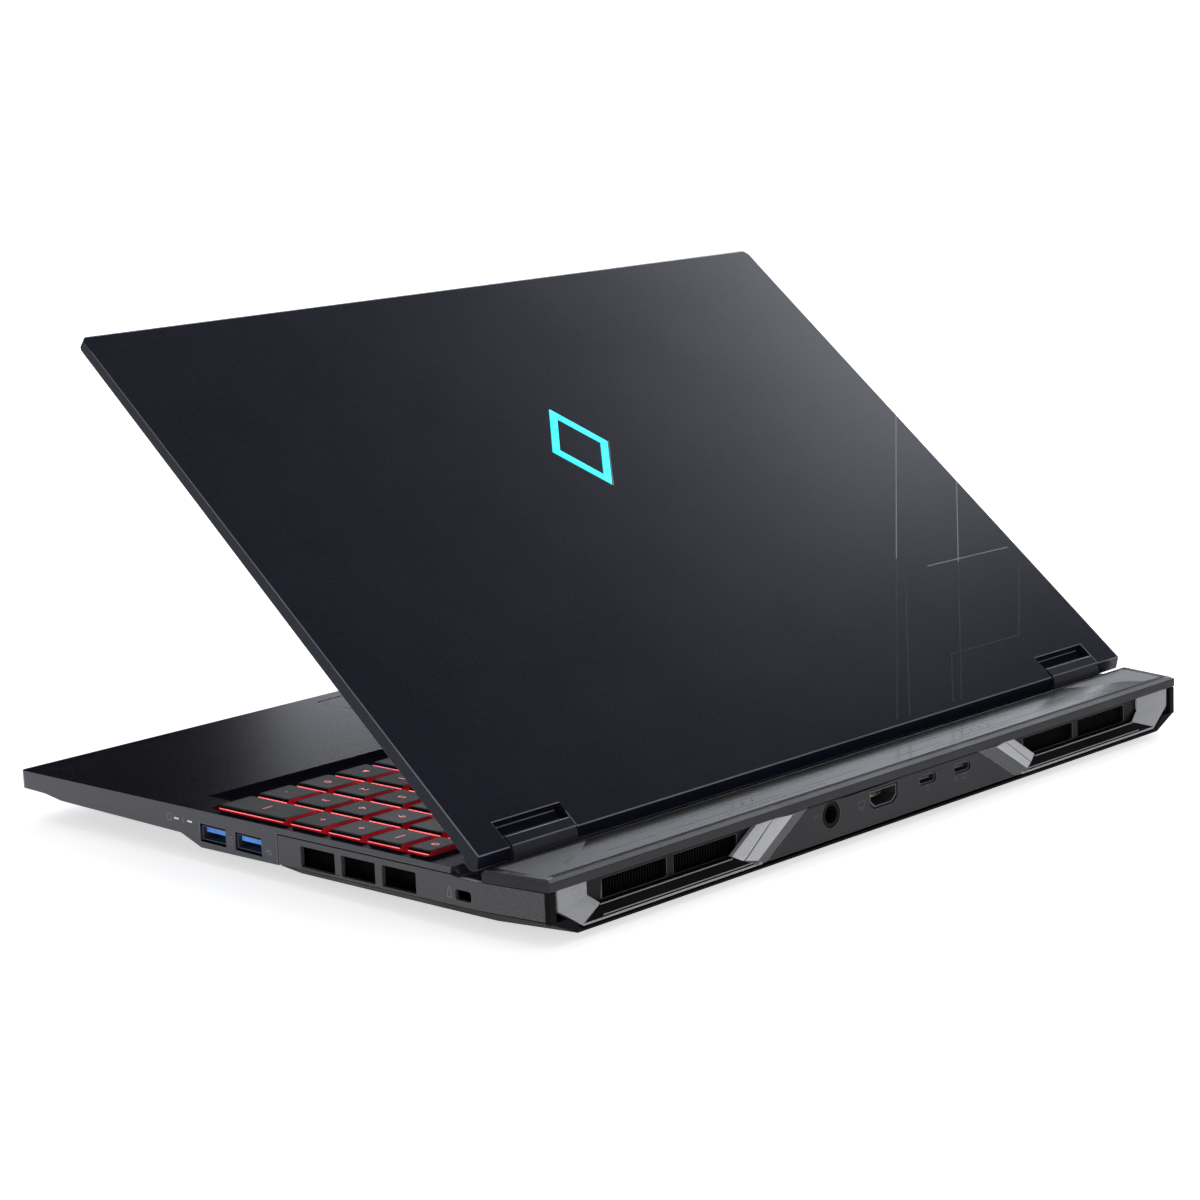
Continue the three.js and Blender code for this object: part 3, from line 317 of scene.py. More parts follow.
# The USB tongues glow a little though nothing lights them: a painted glow.
USB_BLUE_GLOW = glowing_insert("usb_blue_painted_glow", (0.03, 0.18, 0.62), (0.05, 0.26, 0.78), 0.3)
GOLD = brushed("contact_gold", (0.75, 0.55, 0.22), (0.9, 0.68, 0.3), (0.2, 0.3), ALONG_X)
PRINT = painted("printed_marks", (0.15, 0.15, 0.16), (0.20, 0.20, 0.21), (0.5, 0.6), 2600)
PRINT_DARK = painted("printed_dark_marks", (0.035, 0.036, 0.038), (0.05, 0.05, 0.053), (0.4, 0.5), 2600)
KEY_GLOW = glowing("key_rim_glow", 2.4, pale=0.12)
KEY_SIDE_GLOW = glowing("key_lit_side", 0.07)
KEY_LEGEND = glowing("key_legend_glow", 0.8, pale=0.2)
KEY_LIGHT_SHEET = glowing("key_light_sheet", 0.1)

# Each finish: its surface material and the copy for its rounded edges, mostly a lighter one that paints a
# highlight.
FINISH = {
    "navy_metal": (NAVY, NAVY_HIGHLIGHT),
    "speckled_grey": (SPECKLED, SPECKLED_HIGHLIGHT),
    "silver_trim": (SILVER, SILVER_HIGHLIGHT),
    "dark_plastic": (CHARCOAL, CHARCOAL_HIGHLIGHT),
    "gloss_window": (GLOSS, CHARCOAL_HIGHLIGHT),
    "black_metal": (FIN_BLACK, CHARCOAL_HIGHLIGHT),
    "steel": (STEEL, STEEL),
    "copper": (COPPER, COPPER),
    "rubber": (RUBBER, RUBBER),
    "keycap": (KEY, KEY_HIGHLIGHT),
    "circuit_board": (BOARD, BOARD),
    "battery_wrap": (BATTERY, BATTERY),
    "display_glass": (GLASS, GLASS),
    "emblem_light": (EMBLEM, EMBLEM),
}


# ---------------------------------------------------------------- mesh building blocks
def set_materials(obj, materials):
    """Gives a mesh its materials, in the order of its faces' indices."""
    indices = [face.material_index for face in obj.data.polygons]
    obj.data.materials.clear()
    for material in materials:
        obj.data.materials.append(material)
    obj.data.polygons.foreach_set("material_index", indices)


def add_clean_up(obj):
    """Joins the split corners of an imported mesh, and merges its flat faces.

    They are cut into triangles again, because a bevel can fold a large face that goes round holes.
    """
    weld = obj.modifiers.new("weld", "WELD")
    weld.merge_threshold = 0.002 * MM
    flat = obj.modifiers.new("flat", "DECIMATE")
    flat.decimate_type = "DISSOLVE"
    flat.angle_limit = math.radians(0.6)
    obj.modifiers.new("triangles", "TRIANGULATE")


def add_bevel(obj, width, segments=2, angle=24, edge_slot=-1, shortest=0.0):
    """Rounds the sharp edges; with shortest, only the long ones, at their full width."""
    bevel = obj.modifiers.new("edge", "BEVEL")
    bevel.width = width * MM
    bevel.segments = segments
    bevel.limit_method = "ANGLE"
    bevel.angle_limit = math.radians(angle)
    bevel.miter_outer = "MITER_ARC"
    bevel.harden_normals = True
    bevel.material = edge_slot
    if shortest:
        mark_long_edges(obj.data, math.radians(angle), shortest * MM, 3 * width * MM)
        bevel.limit_method = "WEIGHT"
        bevel.use_clamp_overlap = False


def mark_long_edges(mesh, angle, shortest, narrowest):
    """Gives a bevel weight to the sharp edges that are long enough and have wide enough faces."""
    bm = bmesh.new()
    bm.from_mesh(mesh)
    layers = bm.edges.layers.float
    weight = layers.get("bevel_weight_edge") or layers.new("bevel_weight_edge")
    for edge in bm.edges:
        length = edge.calc_length()
        sharp = edge.is_manifold and edge.calc_face_angle() > angle
        room = min((2 * face.calc_area() / length for face in edge.link_faces), default=0.0)
        edge[weight] = 1.0 if sharp and length > shortest and room > narrowest else 0.0
    bm.to_mesh(mesh)
    bm.free()


def smooth(mesh):
    """Smooth shading without the normals that the imported mesh brought along."""
    mesh.polygons.foreach_set("use_smooth", [True] * len(mesh.polygons))
    for name in ("custom_normal", "sharp_edge", "sharp_face"):
        if name in mesh.attributes:
            mesh.attributes.remove(mesh.attributes[name])


def even_normals(obj):
    """Keeps large flat faces flat in a smooth-shaded mesh, and its unrounded corners sharp."""
    smooth(obj.data)
    obj.data.set_sharp_from_angle(angle=math.radians(50))
    weighted = obj.modifiers.new("normals", "WEIGHTED_NORMAL")
    weighted.keep_sharp = True
    weighted.weight = 100


def baked(obj):
    """Replaces an object's mesh by its modified one, and removes its modifiers."""
    graph = bpy.context.evaluated_depsgraph_get()
    mesh = bpy.data.meshes.new_from_object(obj.evaluated_get(graph))
    obj.modifiers.clear()
    obj.data = mesh


def subtract(obj, tool):
    """Cuts a tool out of an object once the modifiers are applied."""
    boolean = obj.modifiers.new("cut", "BOOLEAN")
    boolean.operation = "DIFFERENCE"
    boolean.solver = "EXACT"
    boolean.object = tool


HAIR_BEVEL = dict(width=0.03, segments=1, angle=40)


def piece(name, bm, place=BASE, body="base", materials=(), bevel=None, replaces=()):
    """A new piece from a mesh in millimetres, in the frame place, riding on a body."""
    bmesh.ops.recalc_face_normals(bm, faces=bm.faces)
    mesh = bpy.data.meshes.new(name)
    bm.to_mesh(mesh)
    bm.free()
    mesh.transform(Matrix.Scale(MM, 4) @ place)
    obj = bpy.data.objects.new(name, mesh)
    bpy.context.scene.collection.objects.link(obj)
    set_materials(obj, materials)
    smooth(mesh)
    add_bevel(obj, **(bevel or HAIR_BEVEL))
    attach(obj, body)
    if replaces:
        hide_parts(*replaces)
    return obj


def block(bm, xs, ys, zs, material=0):
    """A box between two x, two y and two z values."""
    made = bmesh.ops.create_cube(bm, size=1)["verts"]
    for v in made:
        v.co = Vector((xs[v.co.x > 0], ys[v.co.y > 0], zs[v.co.z > 0]))
    for face in {f for v in made for f in v.link_faces}:
        face.material_index = material


def prism(bm, outline, low, high, axes="xyz", material=0):
    """A closed prism: outline lies in the first two axes, and low to high is the third."""
    order = ["xyz".index(a) for a in axes]
    rings = []
    for level in (low, high):
        ring = []
        for a, b in outline:
            point = [0.0] * 3
            for axis, value in zip(order, (a, b, level)):
                point[axis] = value
            ring.append(bm.verts.new(point))
        rings.append(ring)
    faces = [bm.faces.new(rings[0]), bm.faces.new(rings[1])]
    count = len(outline)
    for i in range(count):
        j = (i + 1) % count
        faces.append(bm.faces.new((rings[0][i], rings[0][j], rings[1][j], rings[1][i])))
    for face in faces:
        face.material_index = material


def loft(bm, rings, finish=lambda level, normal: 0):
    """A closed body through rings of points; finish picks a material for a step and a direction."""
    made = [[bm.verts.new(p) for p in ring] for ring in rings]
    count = len(rings[0])
    for level, (lower, upper) in enumerate(zip(made, made[1:])):
        for i in range(count):
            j = (i + 1) % count
            face = bm.faces.new((lower[i], lower[j], upper[j], upper[i]))
            face.normal_update()
            face.material_index = finish(level, face.normal)
    bm.faces.new(made[0]).material_index = finish(0, Vector((0, 0, -1)))
    bm.faces.new(made[-1]).material_index = finish(len(rings), Vector((0, 0, 1)))


def rounded(x0, x1, y0, y1, radius, steps=4):
    """The outline of a rectangle with round corners."""
    points = []
    corners = ((x1 - radius, y0 + radius, -90), (x1 - radius, y1 - radius, 0),
               (x0 + radius, y1 - radius, 90), (x0 + radius, y0 + radius, 180))
    for cx, cy, start in corners:
        for step in range(steps + 1):
            angle = math.radians(start + 90 * step / steps)
            points.append((cx + radius * math.cos(angle), cy + radius * math.sin(angle)))
    return points


def disc(cx, cy, radius, sides=20):
    """The outline of a circle."""
    turns = [2 * math.pi * i / sides for i in range(sides)]
    return [(cx + radius * math.cos(t), cy + radius * math.sin(t)) for t in turns]


def strip(points, width):
    """The outline of a line of some width through points, mitred at its corners."""
    left, right = [], []
    for i, p in enumerate(points):
        p = Vector(p)
        before = (p - Vector(points[i - 1])).normalized() if i else None
        after = (Vector(points[i + 1]) - p).normalized() if i < len(points) - 1 else None
        before, after = before or after, after or before
        middle = (before + after).normalized()
        side = Vector((-middle.y, middle.x))
        reach = width / 2 / max(0.3, side.dot(Vector((-before.y, before.x))))
        left.append(tuple(p + side * reach))
        right.append(tuple(p - side * reach))
    return left + right[::-1]


def cutter(outlines, low, high, axes="xyz", place=BASE, material=2):
    """A tool for refined(): prisms that are cut out of it, whose walls get a material."""
    bm = bmesh.new()
    for outline in outlines:
        prism(bm, outline, low, high, axes, material)
    bmesh.ops.recalc_face_normals(bm, faces=bm.faces)
    mesh = bpy.data.meshes.new("cutter")
    bm.to_mesh(mesh)
    bm.free()
    mesh.transform(Matrix.Scale(MM, 4) @ place)
    tool = bpy.data.objects.new("cutter", mesh)
    bpy.context.scene.collection.objects.link(tool)
    for _ in range(material + 1):
        mesh.materials.append(None)
    return tool


def refined(node, name, materials, bevel, tools=(), paint=None):
    """A finer piece in place of a CAD node: the same body with round edges and cut details."""
    source = NODES[node]
    obj = bpy.data.objects.new(name, source.data.copy())
    bpy.context.scene.collection.objects.link(obj)
    set_materials(obj, materials)
    smooth(obj.data)
    add_clean_up(obj)
    baked(obj)
    if paint:
        for face in obj.data.polygons:
            face.material_index = paint(face.center / MM, face.normal)
    add_bevel(obj, **bevel)
    for tool in tools:
        subtract(obj, tool)
    baked(obj)
    for tool in tools:
        bpy.data.objects.remove(tool)
    if tools:
        even_normals(obj)
    elif bevel.get("shortest"):
        smooth(obj.data)
        for face in obj.data.polygons:
            face.use_smooth = face.material_index == bevel["edge_slot"]
    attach(obj, BODY_OF[node])
    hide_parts(node)


# ---------------------------------------------------------------- lid
# The lid's grooves, drawn as flat lines; these catch the light and get a painted highlight.
LIT_GROOVE_LINES = [
    [(-178.3, 142.2), (-108, 71.1)],
    [(-178.3, 101.5), (-139, 62.2)],
    [(-120.8, 64.0), (-173.1, 63.2)],
]
# These grooves lie in shade and are painted near-black: painted shade.
SHADED_GROOVE_LINES = [
    [(-107.7, 70.8), (-38.9, 1.0)],
    [(-105.6, 62.9), (-46.2, 1.0)],
    [(-138.7, 61.9), (-77.9, 1.0)],
    [(-178.3, 52.3), (-169.6, 52.2), (-135.9, 21.2), (-92.8, 21.5), (-72.7, 1.0)],
]
LINE_WIDTH = 0.45


def lid_face_matrix():
    """The frame of the lid's outer face: like LID, but z = 0 is the outer surface."""
    turn = LID.inverted().to_3x3()
    face = largest_face("lid_cover", LID.to_3x3() @ Vector((0, 0, 1)))
    normal = turn @ face.normal
    point = LID.inverted() @ (face.center / MM)
    slope = math.atan2(-normal.y, normal.z)
    height = point.z - point.y * math.tan(slope)
    return LID @ Matrix.Translation((0, 0, height)) @ Matrix.Rotation(slope, 4, "X")


LONG_EDGE = 6.0
# Bevels whose faces take material slot 1, a lighter copy that paints a highlight on the long edges.
HIGHLIGHT_BEVEL = dict(width=0.25, segments=2, angle=20, edge_slot=1, shortest=LONG_EDGE)


def build_long_edges():
    """The deck and the hinge covers again, with a painted highlight on the rounded long edges and painted light on
    their lighter sides.
    """
    # Upward faces keep the deck navy; the other faces are painted lighter as painted light.
    refined("palmrest_deck", "deck_shell", (NAVY_DECK, NAVY_DECK_HIGHLIGHT, NAVY_SIDE_PAINTED_LIGHT), HIGHLIGHT_BEVEL,
            paint=lambda center, normal: 0 if normal.z > 0.9 else 2)
    for side in SIDES:
        # Upward faces take the satin navy; the other faces are painted lighter as painted light.
        refined(f"hinge_cover_{side}", f"hinge_shroud_{side}", (NAVY_SIDE_PAINTED_LIGHT, NAVY_HIGHLIGHT, NAVY_SATIN), HIGHLIGHT_BEVEL,
                paint=lambda center, normal: 2 if normal.z > 0.35 else 0)


def build_lid():
    # The lid's rounded long edges take the lighter navy as a painted highlight.
    refined("lid_cover", "lid_shell", (NAVY, NAVY_HIGHLIGHT),
            dict(width=0.3, segments=2, angle=14, edge_slot=1, shortest=LONG_EDGE))
    face = lid_face_matrix()
    # Each groove is a thin painted strip on the face, not a cut: painted shade or a painted highlight.
    for name, lines, material in (("dark", SHADED_GROOVE_LINES, GROOVE_SHADE), ("bright", LIT_GROOVE_LINES, GROOVE_HIGHLIGHT)):
        bm = bmesh.new()
        for line in lines:
            prism(bm, strip([(x, -v) for x, v in line], LINE_WIDTH), -0.3, 0.02)
        piece(f"lid_inlay_{name}", bm, face, "lid", (material,), dict(width=0.01, segments=1))
    build_bezel_details()


def build_bezel_details():
    """The rubber strip round the screen, the microphones and the camera's light."""
    half = box_mm("screen_bezel")[1].x
    inside = [LID.inverted() @ (v.co / MM) for v in NODES["screen_bezel"].data.vertices]
    face = min(p.z for p in inside)
    near, far = max(p.y for p in inside), min(p.y for p in inside)
    bm = bmesh.new()
    rim, thick = 1.1, 0.55
    block(bm, (-half + 3, half - 3), (far + 0.5, far + 0.5 + rim), (face - thick, face + 0.3))
    block(bm, (-half + 3, half - 3), (near - 0.5 - rim, near - 0.5), (face - thick, face + 0.3))
    for side in (1, -1):
        xs = sorted((side * (half - 0.5 - rim), side * (half - 0.5)))
        block(bm, xs, (far + 3, near - 3), (face - thick, face + 0.3))
    piece("screen_bumper_strip", bm, LID, "lid", (RUBBER,), dict(width=0.25, segments=2))
    lens_y = far + 2.3
    bm = bmesh.new()
    for x in (-34, -31, 31, 34):
        prism(bm, disc(x, lens_y, 0.45, 10), face - 0.06, face + 0.3)
    piece("microphone_holes", bm, LID, "lid", (BLACK,))
    bm = bmesh.new()
    prism(bm, disc(-8, lens_y, 0.5, 12), face - 0.06, face + 0.3)
    piece("webcam_light", bm, LID, "lid", (PRINT,))


# ---------------------------------------------------------------- keyboard
CAP_GAP = 2.8
CAP_TOP = 0.9
CAP_BOTTOM = -2.1
COLUMNS = 19
KEY_ROWS = {
    "bottom": [1.25, 1, 1, 1.25, -5.5, 1, 1, 1, 1, 1, 1, 1, 1],
    "lower": [2.25, 1, 1, 1, 1, 1, 1, 1, 1, 1, 1, 1.75, 1, 1, 1, 1],
    "home": [1.75, 1, 1, 1, 1, 1, 1, 1, 1, 1, 1, 1, -2.25, 1, 1, 1, 1],
    "upper": [1.5, 1, 1, 1, 1, 1, 1, 1, 1, 1, 1, 1, 1, 1.5, 1, 1, 1, 1],
    "number": [1, 1, 1, 1, 1, 1, 1, 1, 1, 1, 1, 1, 1, 2, 1, 1, 1, 1],
    "function": [1] * 18,
}
LEGENDS = {
    "bottom": ["-", "-", "-", "-", "", "-", "-", "-", "<", "v", ">", "0", "."],
    "lower": ["-", *"ZXCVBNM,./", "-", "^", *"123"],
    "home": ["-", *"ASDFGHJKL;'", "", *"456+"],
    "upper": ["-", *"QWERTYUIOP[]", "-", *"789+"],
    "number": ["`", *"1234567890-=", "-", *"-/*-"],
    "function": ["-"] * 18,
}
ARROWS = {"<": 90, ">": -90, "^": 0, "v": 180}


def row_y(row):
    """Front and rear edge of a row's caps, in the deck's frame."""
    name = f"key_row_{row}"
    inside = [DECK.inverted() @ (v.co / MM) for v in NODES[name].data.vertices]
    carrier = 1.4
    return min(p.y for p in inside) + carrier, max(p.y for p in inside)


KEY_LEFT = box_mm("key_row_bottom")[0].x
KEY_RIGHT = box_mm("key_numpad_enter")[1].x
PITCH = (KEY_RIGHT - KEY_LEFT + CAP_GAP) / COLUMNS

# Inset, height and corner radius of each ring of a cap, from its foot to its dished middle.
CAP_RINGS = [
    (0.0, CAP_BOTTOM, 1.0), (0.0, CAP_TOP - 1.3, 1.2), (0.0, CAP_TOP - 1.0, 1.2), (0.05, CAP_TOP - 0.95, 1.2),
    (0.42, CAP_TOP - 0.16, 1.1), (0.6, CAP_TOP, 1.0), (1.9, CAP_TOP - 0.07, 0.8),
]
# The ring that takes the glow line, and the lighter ring round the top edge, a painted highlight.
GLOW_STEP, HIGHLIGHT_STEP = 1, 4
CAP_BODY, CAP_HIGHLIGHT, CAP_GLOW, CAP_LIT_SIDE = 0, 1, 2, 3


def cap(bm, x0, x1, y0, y1):
    """One cap: a lit line low on its right side, sides that the light tints, a painted highlight round the top
    edge and a slightly dished top.
    """
    rings = []
    for inset, z, radius in CAP_RINGS:
        ring = rounded(x0 + inset, x1 - inset, y0 + inset, y1 - inset, radius, 3)
        rings.append([(x, y, z) for x, y in ring])

    def finish(level, normal):
        if level < GLOW_STEP:
            return CAP_LIT_SIDE
        if level == GLOW_STEP:
            return CAP_GLOW if normal.x > 0.8 else CAP_LIT_SIDE
        if level < HIGHLIGHT_STEP:
            return CAP_LIT_SIDE if normal.y > 0.8 else CAP_BODY
        return CAP_HIGHLIGHT if level == HIGHLIGHT_STEP else CAP_BODY
    loft(bm, rings, finish)


def text_outline_mesh(character, size):
    """A raised character of the built-in typeface as a mesh, centred on the origin."""
    curve = bpy.data.curves.new("glyph", "FONT")
    curve.body = character
    curve.size = size
    curve.align_x = "CENTER"
    curve.align_y = "CENTER"
    curve.extrude = 0.04
    curve.resolution_u = 2
    holder = bpy.data.objects.new("glyph", curve)
    bpy.context.scene.collection.objects.link(holder)
    bpy.context.view_layer.update()
    graph = bpy.context.evaluated_depsgraph_get()
    mesh = bpy.data.meshes.new_from_object(holder.evaluated_get(graph))
    bpy.data.objects.remove(holder)
    return mesh


def legend(bm, mark, x0, x1, y0, y1):
    """A generic mark on a cap: one character, an arrow or a short bar."""
    z = CAP_TOP - 0.13
    cx, cy = (x0 + x1) / 2, (y0 + y1) / 2
    if not mark:
        return
    if mark in ARROWS:
        turn = Matrix.Rotation(math.radians(ARROWS[mark]), 2)
        corners = [turn @ Vector(p) for p in ((-1.5, -1.1), (1.5, -1.1), (0, 1.5))]
        prism(bm, [(cx + p.x, cy + p.y) for p in corners], z, z + 0.12)
        return
    if mark == "-":
        reach = min(2.2, (x1 - x0) / 6)
        block(bm, (cx - reach, cx + reach), (cy - 0.25, cy + 0.25), (z, z + 0.12))
        return
    mesh = text_outline_mesh(mark, 5.0)
    mesh.transform(Matrix.Translation((cx, cy, z + 0.08)))
    bm.from_mesh(mesh)
    bpy.data.meshes.remove(mesh)


def keys_piece(name, spans, marks, body, node):
    """The caps of one moving body, with their legends as a second piece."""
    caps, marked = bmesh.new(), bmesh.new()
    for span, mark in zip(spans, marks):
        cap(caps, *span)
        legend(marked, mark, *span)
    piece(name, caps, DECK, body, (KEY, KEY_HIGHLIGHT, KEY_GLOW, KEY_SIDE_GLOW),
          dict(width=0.04, segments=1, angle=50), replaces=(node,))
    if marked.verts:
        piece(name + "_legends", marked, DECK, body, (KEY_LEGEND,))


def carrier_free_box(node):
    """Left, right, front and rear of a single key, in the deck's frame."""
    inside = [DECK.inverted() @ (v.co / MM) for v in NODES[node].data.vertices]
    xs, ys = [p.x for p in inside], [p.y for p in inside]
    return min(xs), max(xs), min(ys), max(ys)


SINGLE_KEYS = {"key_space": "", "key_enter": "-", "key_numpad_enter": "-", "power_button": "0"}


def build_keyboard():
    for row, widths in KEY_ROWS.items():
        y0, y1 = row_y(row)
        spans, marks, column = [], [], 0
        for width, mark in zip(widths, LEGENDS[row]):
            if width > 0:
                x0 = KEY_LEFT + column * PITCH
                spans.append((x0, x0 + width * PITCH - CAP_GAP, y0, y1))
                marks.append(mark)
            column += abs(width)
        keys_piece(f"keycaps_{row}", spans, marks, f"key_row_{row}", f"key_row_{row}")
    for node, mark in SINGLE_KEYS.items():
        keys_piece(f"{node}_cap", [carrier_free_box(node)], [mark], node, node)
    sheet = bmesh.new()
    low, high = box_mm("keyboard_plate")
    block(sheet, (low.x + 2.5, high.x - 2.5), (low.y + 3.5, high.y - 3.5), (-3.9, -3.6))
    piece("key_light_guide", sheet, DECK, "base", (KEY_LIGHT_SHEET,))


# ---------------------------------------------------------------- rear cap
def cap_paint(center, normal):
    """Speckled bevels, dark upright faces, glossy top."""
    if normal.z > 0.97:
        return 3
    return 2 if normal.z > 0.2 else 0


RIB_PITCH, RIB_WIDTH = 1.3, 0.8
RIB_RISE, RAIL_RISE = 0.28, 0.16
FINE_BEVEL = dict(width=0.08, segments=1)


def build_cap_ridge(top):
    """Cross ribs between two rails, along the rear of the light-bar window."""
    window = box_mm("light_bar_window")[1]
    rib_y = (window.y + 0.5, window.y + 1.75)
    half = window.x - 4.5
    bm = bmesh.new()
    for i in range(int(-half / RIB_PITCH), int(half / RIB_PITCH) + 1):
        x = i * RIB_PITCH
        block(bm, (x - RIB_WIDTH / 2, x + RIB_WIDTH / 2), rib_y, (top - 0.3, top + RIB_RISE))
    piece("cap_ridge_ribs", bm, materials=(CHARCOAL,), bevel=FINE_BEVEL)
    bm = bmesh.new()
    for ys in ((rib_y[0] - 0.45, rib_y[0] - 0.15), (rib_y[1] + 0.12, rib_y[1] + 0.5)):
        block(bm, (-half - 1, half + 1), ys, (top - 0.3, top + RAIL_RISE))
    piece("cap_ridge_rails", bm, materials=(SPECKLED,), bevel=FINE_BEVEL)


# Start and end in x of each dash, and its share of the window's depth; mirrored on the other half.
LIGHT_BAR_DASHES = [
    (6, 60, 0.30), (70, 118, 0.30), (14, 92, 0.42), (96, 128, 0.42),
    (10, 40, 0.72), (52, 108, 0.72), (116, 140, 0.72), (30, 84, 0.84),
]
SLASHES_X = (62, 67, 72)
# Distance from the middle and share of the window's depth, along the inner edge of its dark end.
CHEVRON = [(134.4, 0.04), (143.1, 0.35), (157.0, 0.62), (162.2, 0.96)]


def build_light_bar():
    """Plain dashes and slashes on the light-bar window, and its dark ends."""
    low, high = box_mm("light_bar_window")
    depth = high.y - low.y
    under, over = high.z - 0.1, high.z + 0.04
    bm = bmesh.new()
    for side in (1, -1):
        for start, end, share in LIGHT_BAR_DASHES:
            y = low.y + depth * share
            block(bm, sorted((side * start, side * end)), (y - 0.14, y + 0.14), (under, over))
        for distance in SLASHES_X:
            x, y = side * distance, low.y + depth * 0.58
            prism(bm, [(x, y - 1.5), (x + 1.2, y - 1.5), (x + 3.6, y + 1.5), (x + 2.4, y + 1.5)], under, over)
    for side in (1, -1):
        outline = [(side * x, low.y + depth * share) for x, share in CHEVRON]
        end = side * (high.x - 0.4)
        outline += [(end, high.y - 0.4), (end, low.y + 0.4)]
        prism(bm, outline, under, high.z + 0.03)
    piece("light_bar_lines", bm, materials=(PRINT_DARK,))


def build_rear_cap():
    refined("rear_cap", "rear_cap_shell", (CHARCOAL, CHARCOAL_HIGHLIGHT, SPECKLED, GLOSS),
            dict(width=0.22, segments=2, angle=20), paint=cap_paint)
    build_cap_ridge(box_mm("rear_cap")[1].z)
    build_light_bar()


# ---------------------------------------------------------------- exhausts and fins
FIN_PITCH = {"rear": 1.3, "side": 0.9}
FIN_THICKNESS = 0.3


def fin_rows(bm, pitch, along, across, heights, swap):
    """Thin upright plates between a top and a bottom sheet."""
    count = int((along[1] - along[0]) / pitch)
    for i in range(count + 1):
        a = along[0] + i * pitch
        span = (a, a + FIN_THICKNESS)
        xs, ys = (across, span) if swap else (span, across)
        block(bm, xs, ys, (heights[0] + 0.2, heights[1] - 0.2))
    for z0, z1 in ((heights[0], heights[0] + 0.4), (heights[1] - 0.4, heights[1])):
        xs, ys = (across, along) if swap else (along, across)
        block(bm, xs, ys, (z0, z1))


def build_fin_stacks():
    for place, swap in (("rear", False), ("side", True)):
        for side in SIDES:
            node = f"heatsink_{place}_{side}"
            low, high = box_mm(node)
            bm = bmesh.new()
            along, across = ((low.y, high.y), (low.x, high.x)) if swap else ((low.x, high.x), (low.y, high.y))
            fin_rows(bm, FIN_PITCH[place], along, across, (low.z, high.z), swap)
            piece(f"fin_stack_{place}_{side}", bm, materials=(FIN_BLACK,),
                  bevel=dict(width=0.05, segments=1, angle=60), replaces=(node,))


# Above this line the outer plate takes the darker painted shade, below it the painted half-shade of a ramp.
RAMP_LINE = ((172.0, 11.4), (155.2, 12.5))
SURROUND_MATERIALS = (SILVER, SILVER_HIGHLIGHT, SPECKLED, BLACK, GROOVE_SHADE, SILVER_PAINTED_SHADE, SILVER_PAINTED_HALF_SHADE)
SLOPE, EDGE_HIGHLIGHT, BESIDE_PANEL, SILL, SHADED_GROOVE, SHADED_PLATE, HALF_SHADED_RAMP = range(len(SURROUND_MATERIALS))


def trim_paint(side):
    """Bright inward slopes; outer plates darkened as painted shade and ramps as a lighter painted half-shade;
    speckled facets beside the panel, a black sill.
    """
    (x0, z0), (x1, z1) = RAMP_LINE

    def paint(center, normal):
        x = side * center.x
        if x > 145 and normal.y > 0.5:
            line = z0 + (x - x0) * (z1 - z0) / (x1 - x0)
            return SHADED_PLATE if center.z > line else HALF_SHADED_RAMP
        if normal.y > 0.99:
            return SHADED_PLATE
        if x < 80 and normal.y > 0.5 and normal.z < 0:
            return BESIDE_PANEL
        return SILL if normal.z > 0.5 and x > 84 else SLOPE
    return paint


SILL_SLOPE = 0.784


def build_exhaust_trims():
    for name, side in SIDES.items():
        node = f"exhaust_trim_{name}"
        rear = box_mm(node)[1].y
        line = [(side * 65.05, 19.0), (side * 82.2, 6.6)]
        # The groove's walls take the near-black groove colour: painted shade.
        tools = [cutter([strip(line, 0.3)], rear - 1.95, rear + 2, "xzy", material=SHADED_GROOVE)]
        # The rounded edges take the pale silver as a painted highlight.
        refined(node, f"exhaust_surround_{name}", SURROUND_MATERIALS,
                dict(width=0.14, segments=2, angle=12, edge_slot=EDGE_HIGHLIGHT), tools, trim_paint(side))
        bm = bmesh.new()
        for z, reach in ((5.6, (78, 151.5)), (8.45, (86, 150.5))):
            y = rear - 0.5 - (z - 5.0) * SILL_SLOPE
            ends = sorted((side * reach[0], side * reach[1]))
            prism(bm, [(y - 0.3, z - 0.1), (y + 0.15, z - 0.18), (y + 0.02, z + 0.2)], *ends, "yzx")
        # The sill lines use the shaded silver: painted shade.
        piece(f"exhaust_sill_lines_{name}", bm, materials=(SILVER_PAINTED_SHADE,))


# ---------------------------------------------------------------- side details
def build_usb_inserts():
    for place in ("front", "rear"):
        low, high = box_mm(f"usb_a_port_{place}")
        middle = (low.y + high.y) / 2
        bm = bmesh.new()
        block(bm, (high.x - 13.8, high.x - 1.2), (middle - 5.7, middle + 5.7), (low.z + 2.65, low.z + 4.75))
        # The tongue takes the faintly glowing blue: a painted glow.
        piece(f"usb_tongue_{place}", bm, materials=(USB_BLUE_GLOW,), bevel=dict(width=0.12))
        bm = bmesh.new()
        for i in range(4):
            y = middle - 3.75 + 2.5 * i
            block(bm, (high.x - 13, high.x - 1.8), (y - 0.45, y + 0.45), (low.z + 2.5, low.z + 2.7))
        piece(f"usb_contacts_{place}", bm, materials=(GOLD,))


def mark_piece(name, outlines, face, outward, axes, material=PRINT):
    """Printed marks, a hair thick, on a flat outer face."""
    bm = bmesh.new()
    for outline in outlines:
        prism(bm, outline, face - 0.05 * outward, face + 0.03 * outward, axes)
    piece(name, bm, materials=(material,))


def ring_marks(cx, cy, rx, ry, width=0.35):
    """A small hollow rectangle, as four strips."""
    outer = [(cx - rx, cy - ry), (cx + rx, cy - ry), (cx + rx, cy + ry), (cx - rx, cy + ry)]
    marks = []
    for (ax, ay), (bx, by) in zip(outer, outer[1:] + outer[:1]):
        marks.append(strip([(ax, ay), (bx, by)], width))
    return marks


LAMPS_Y = (-45.3, -37.7)


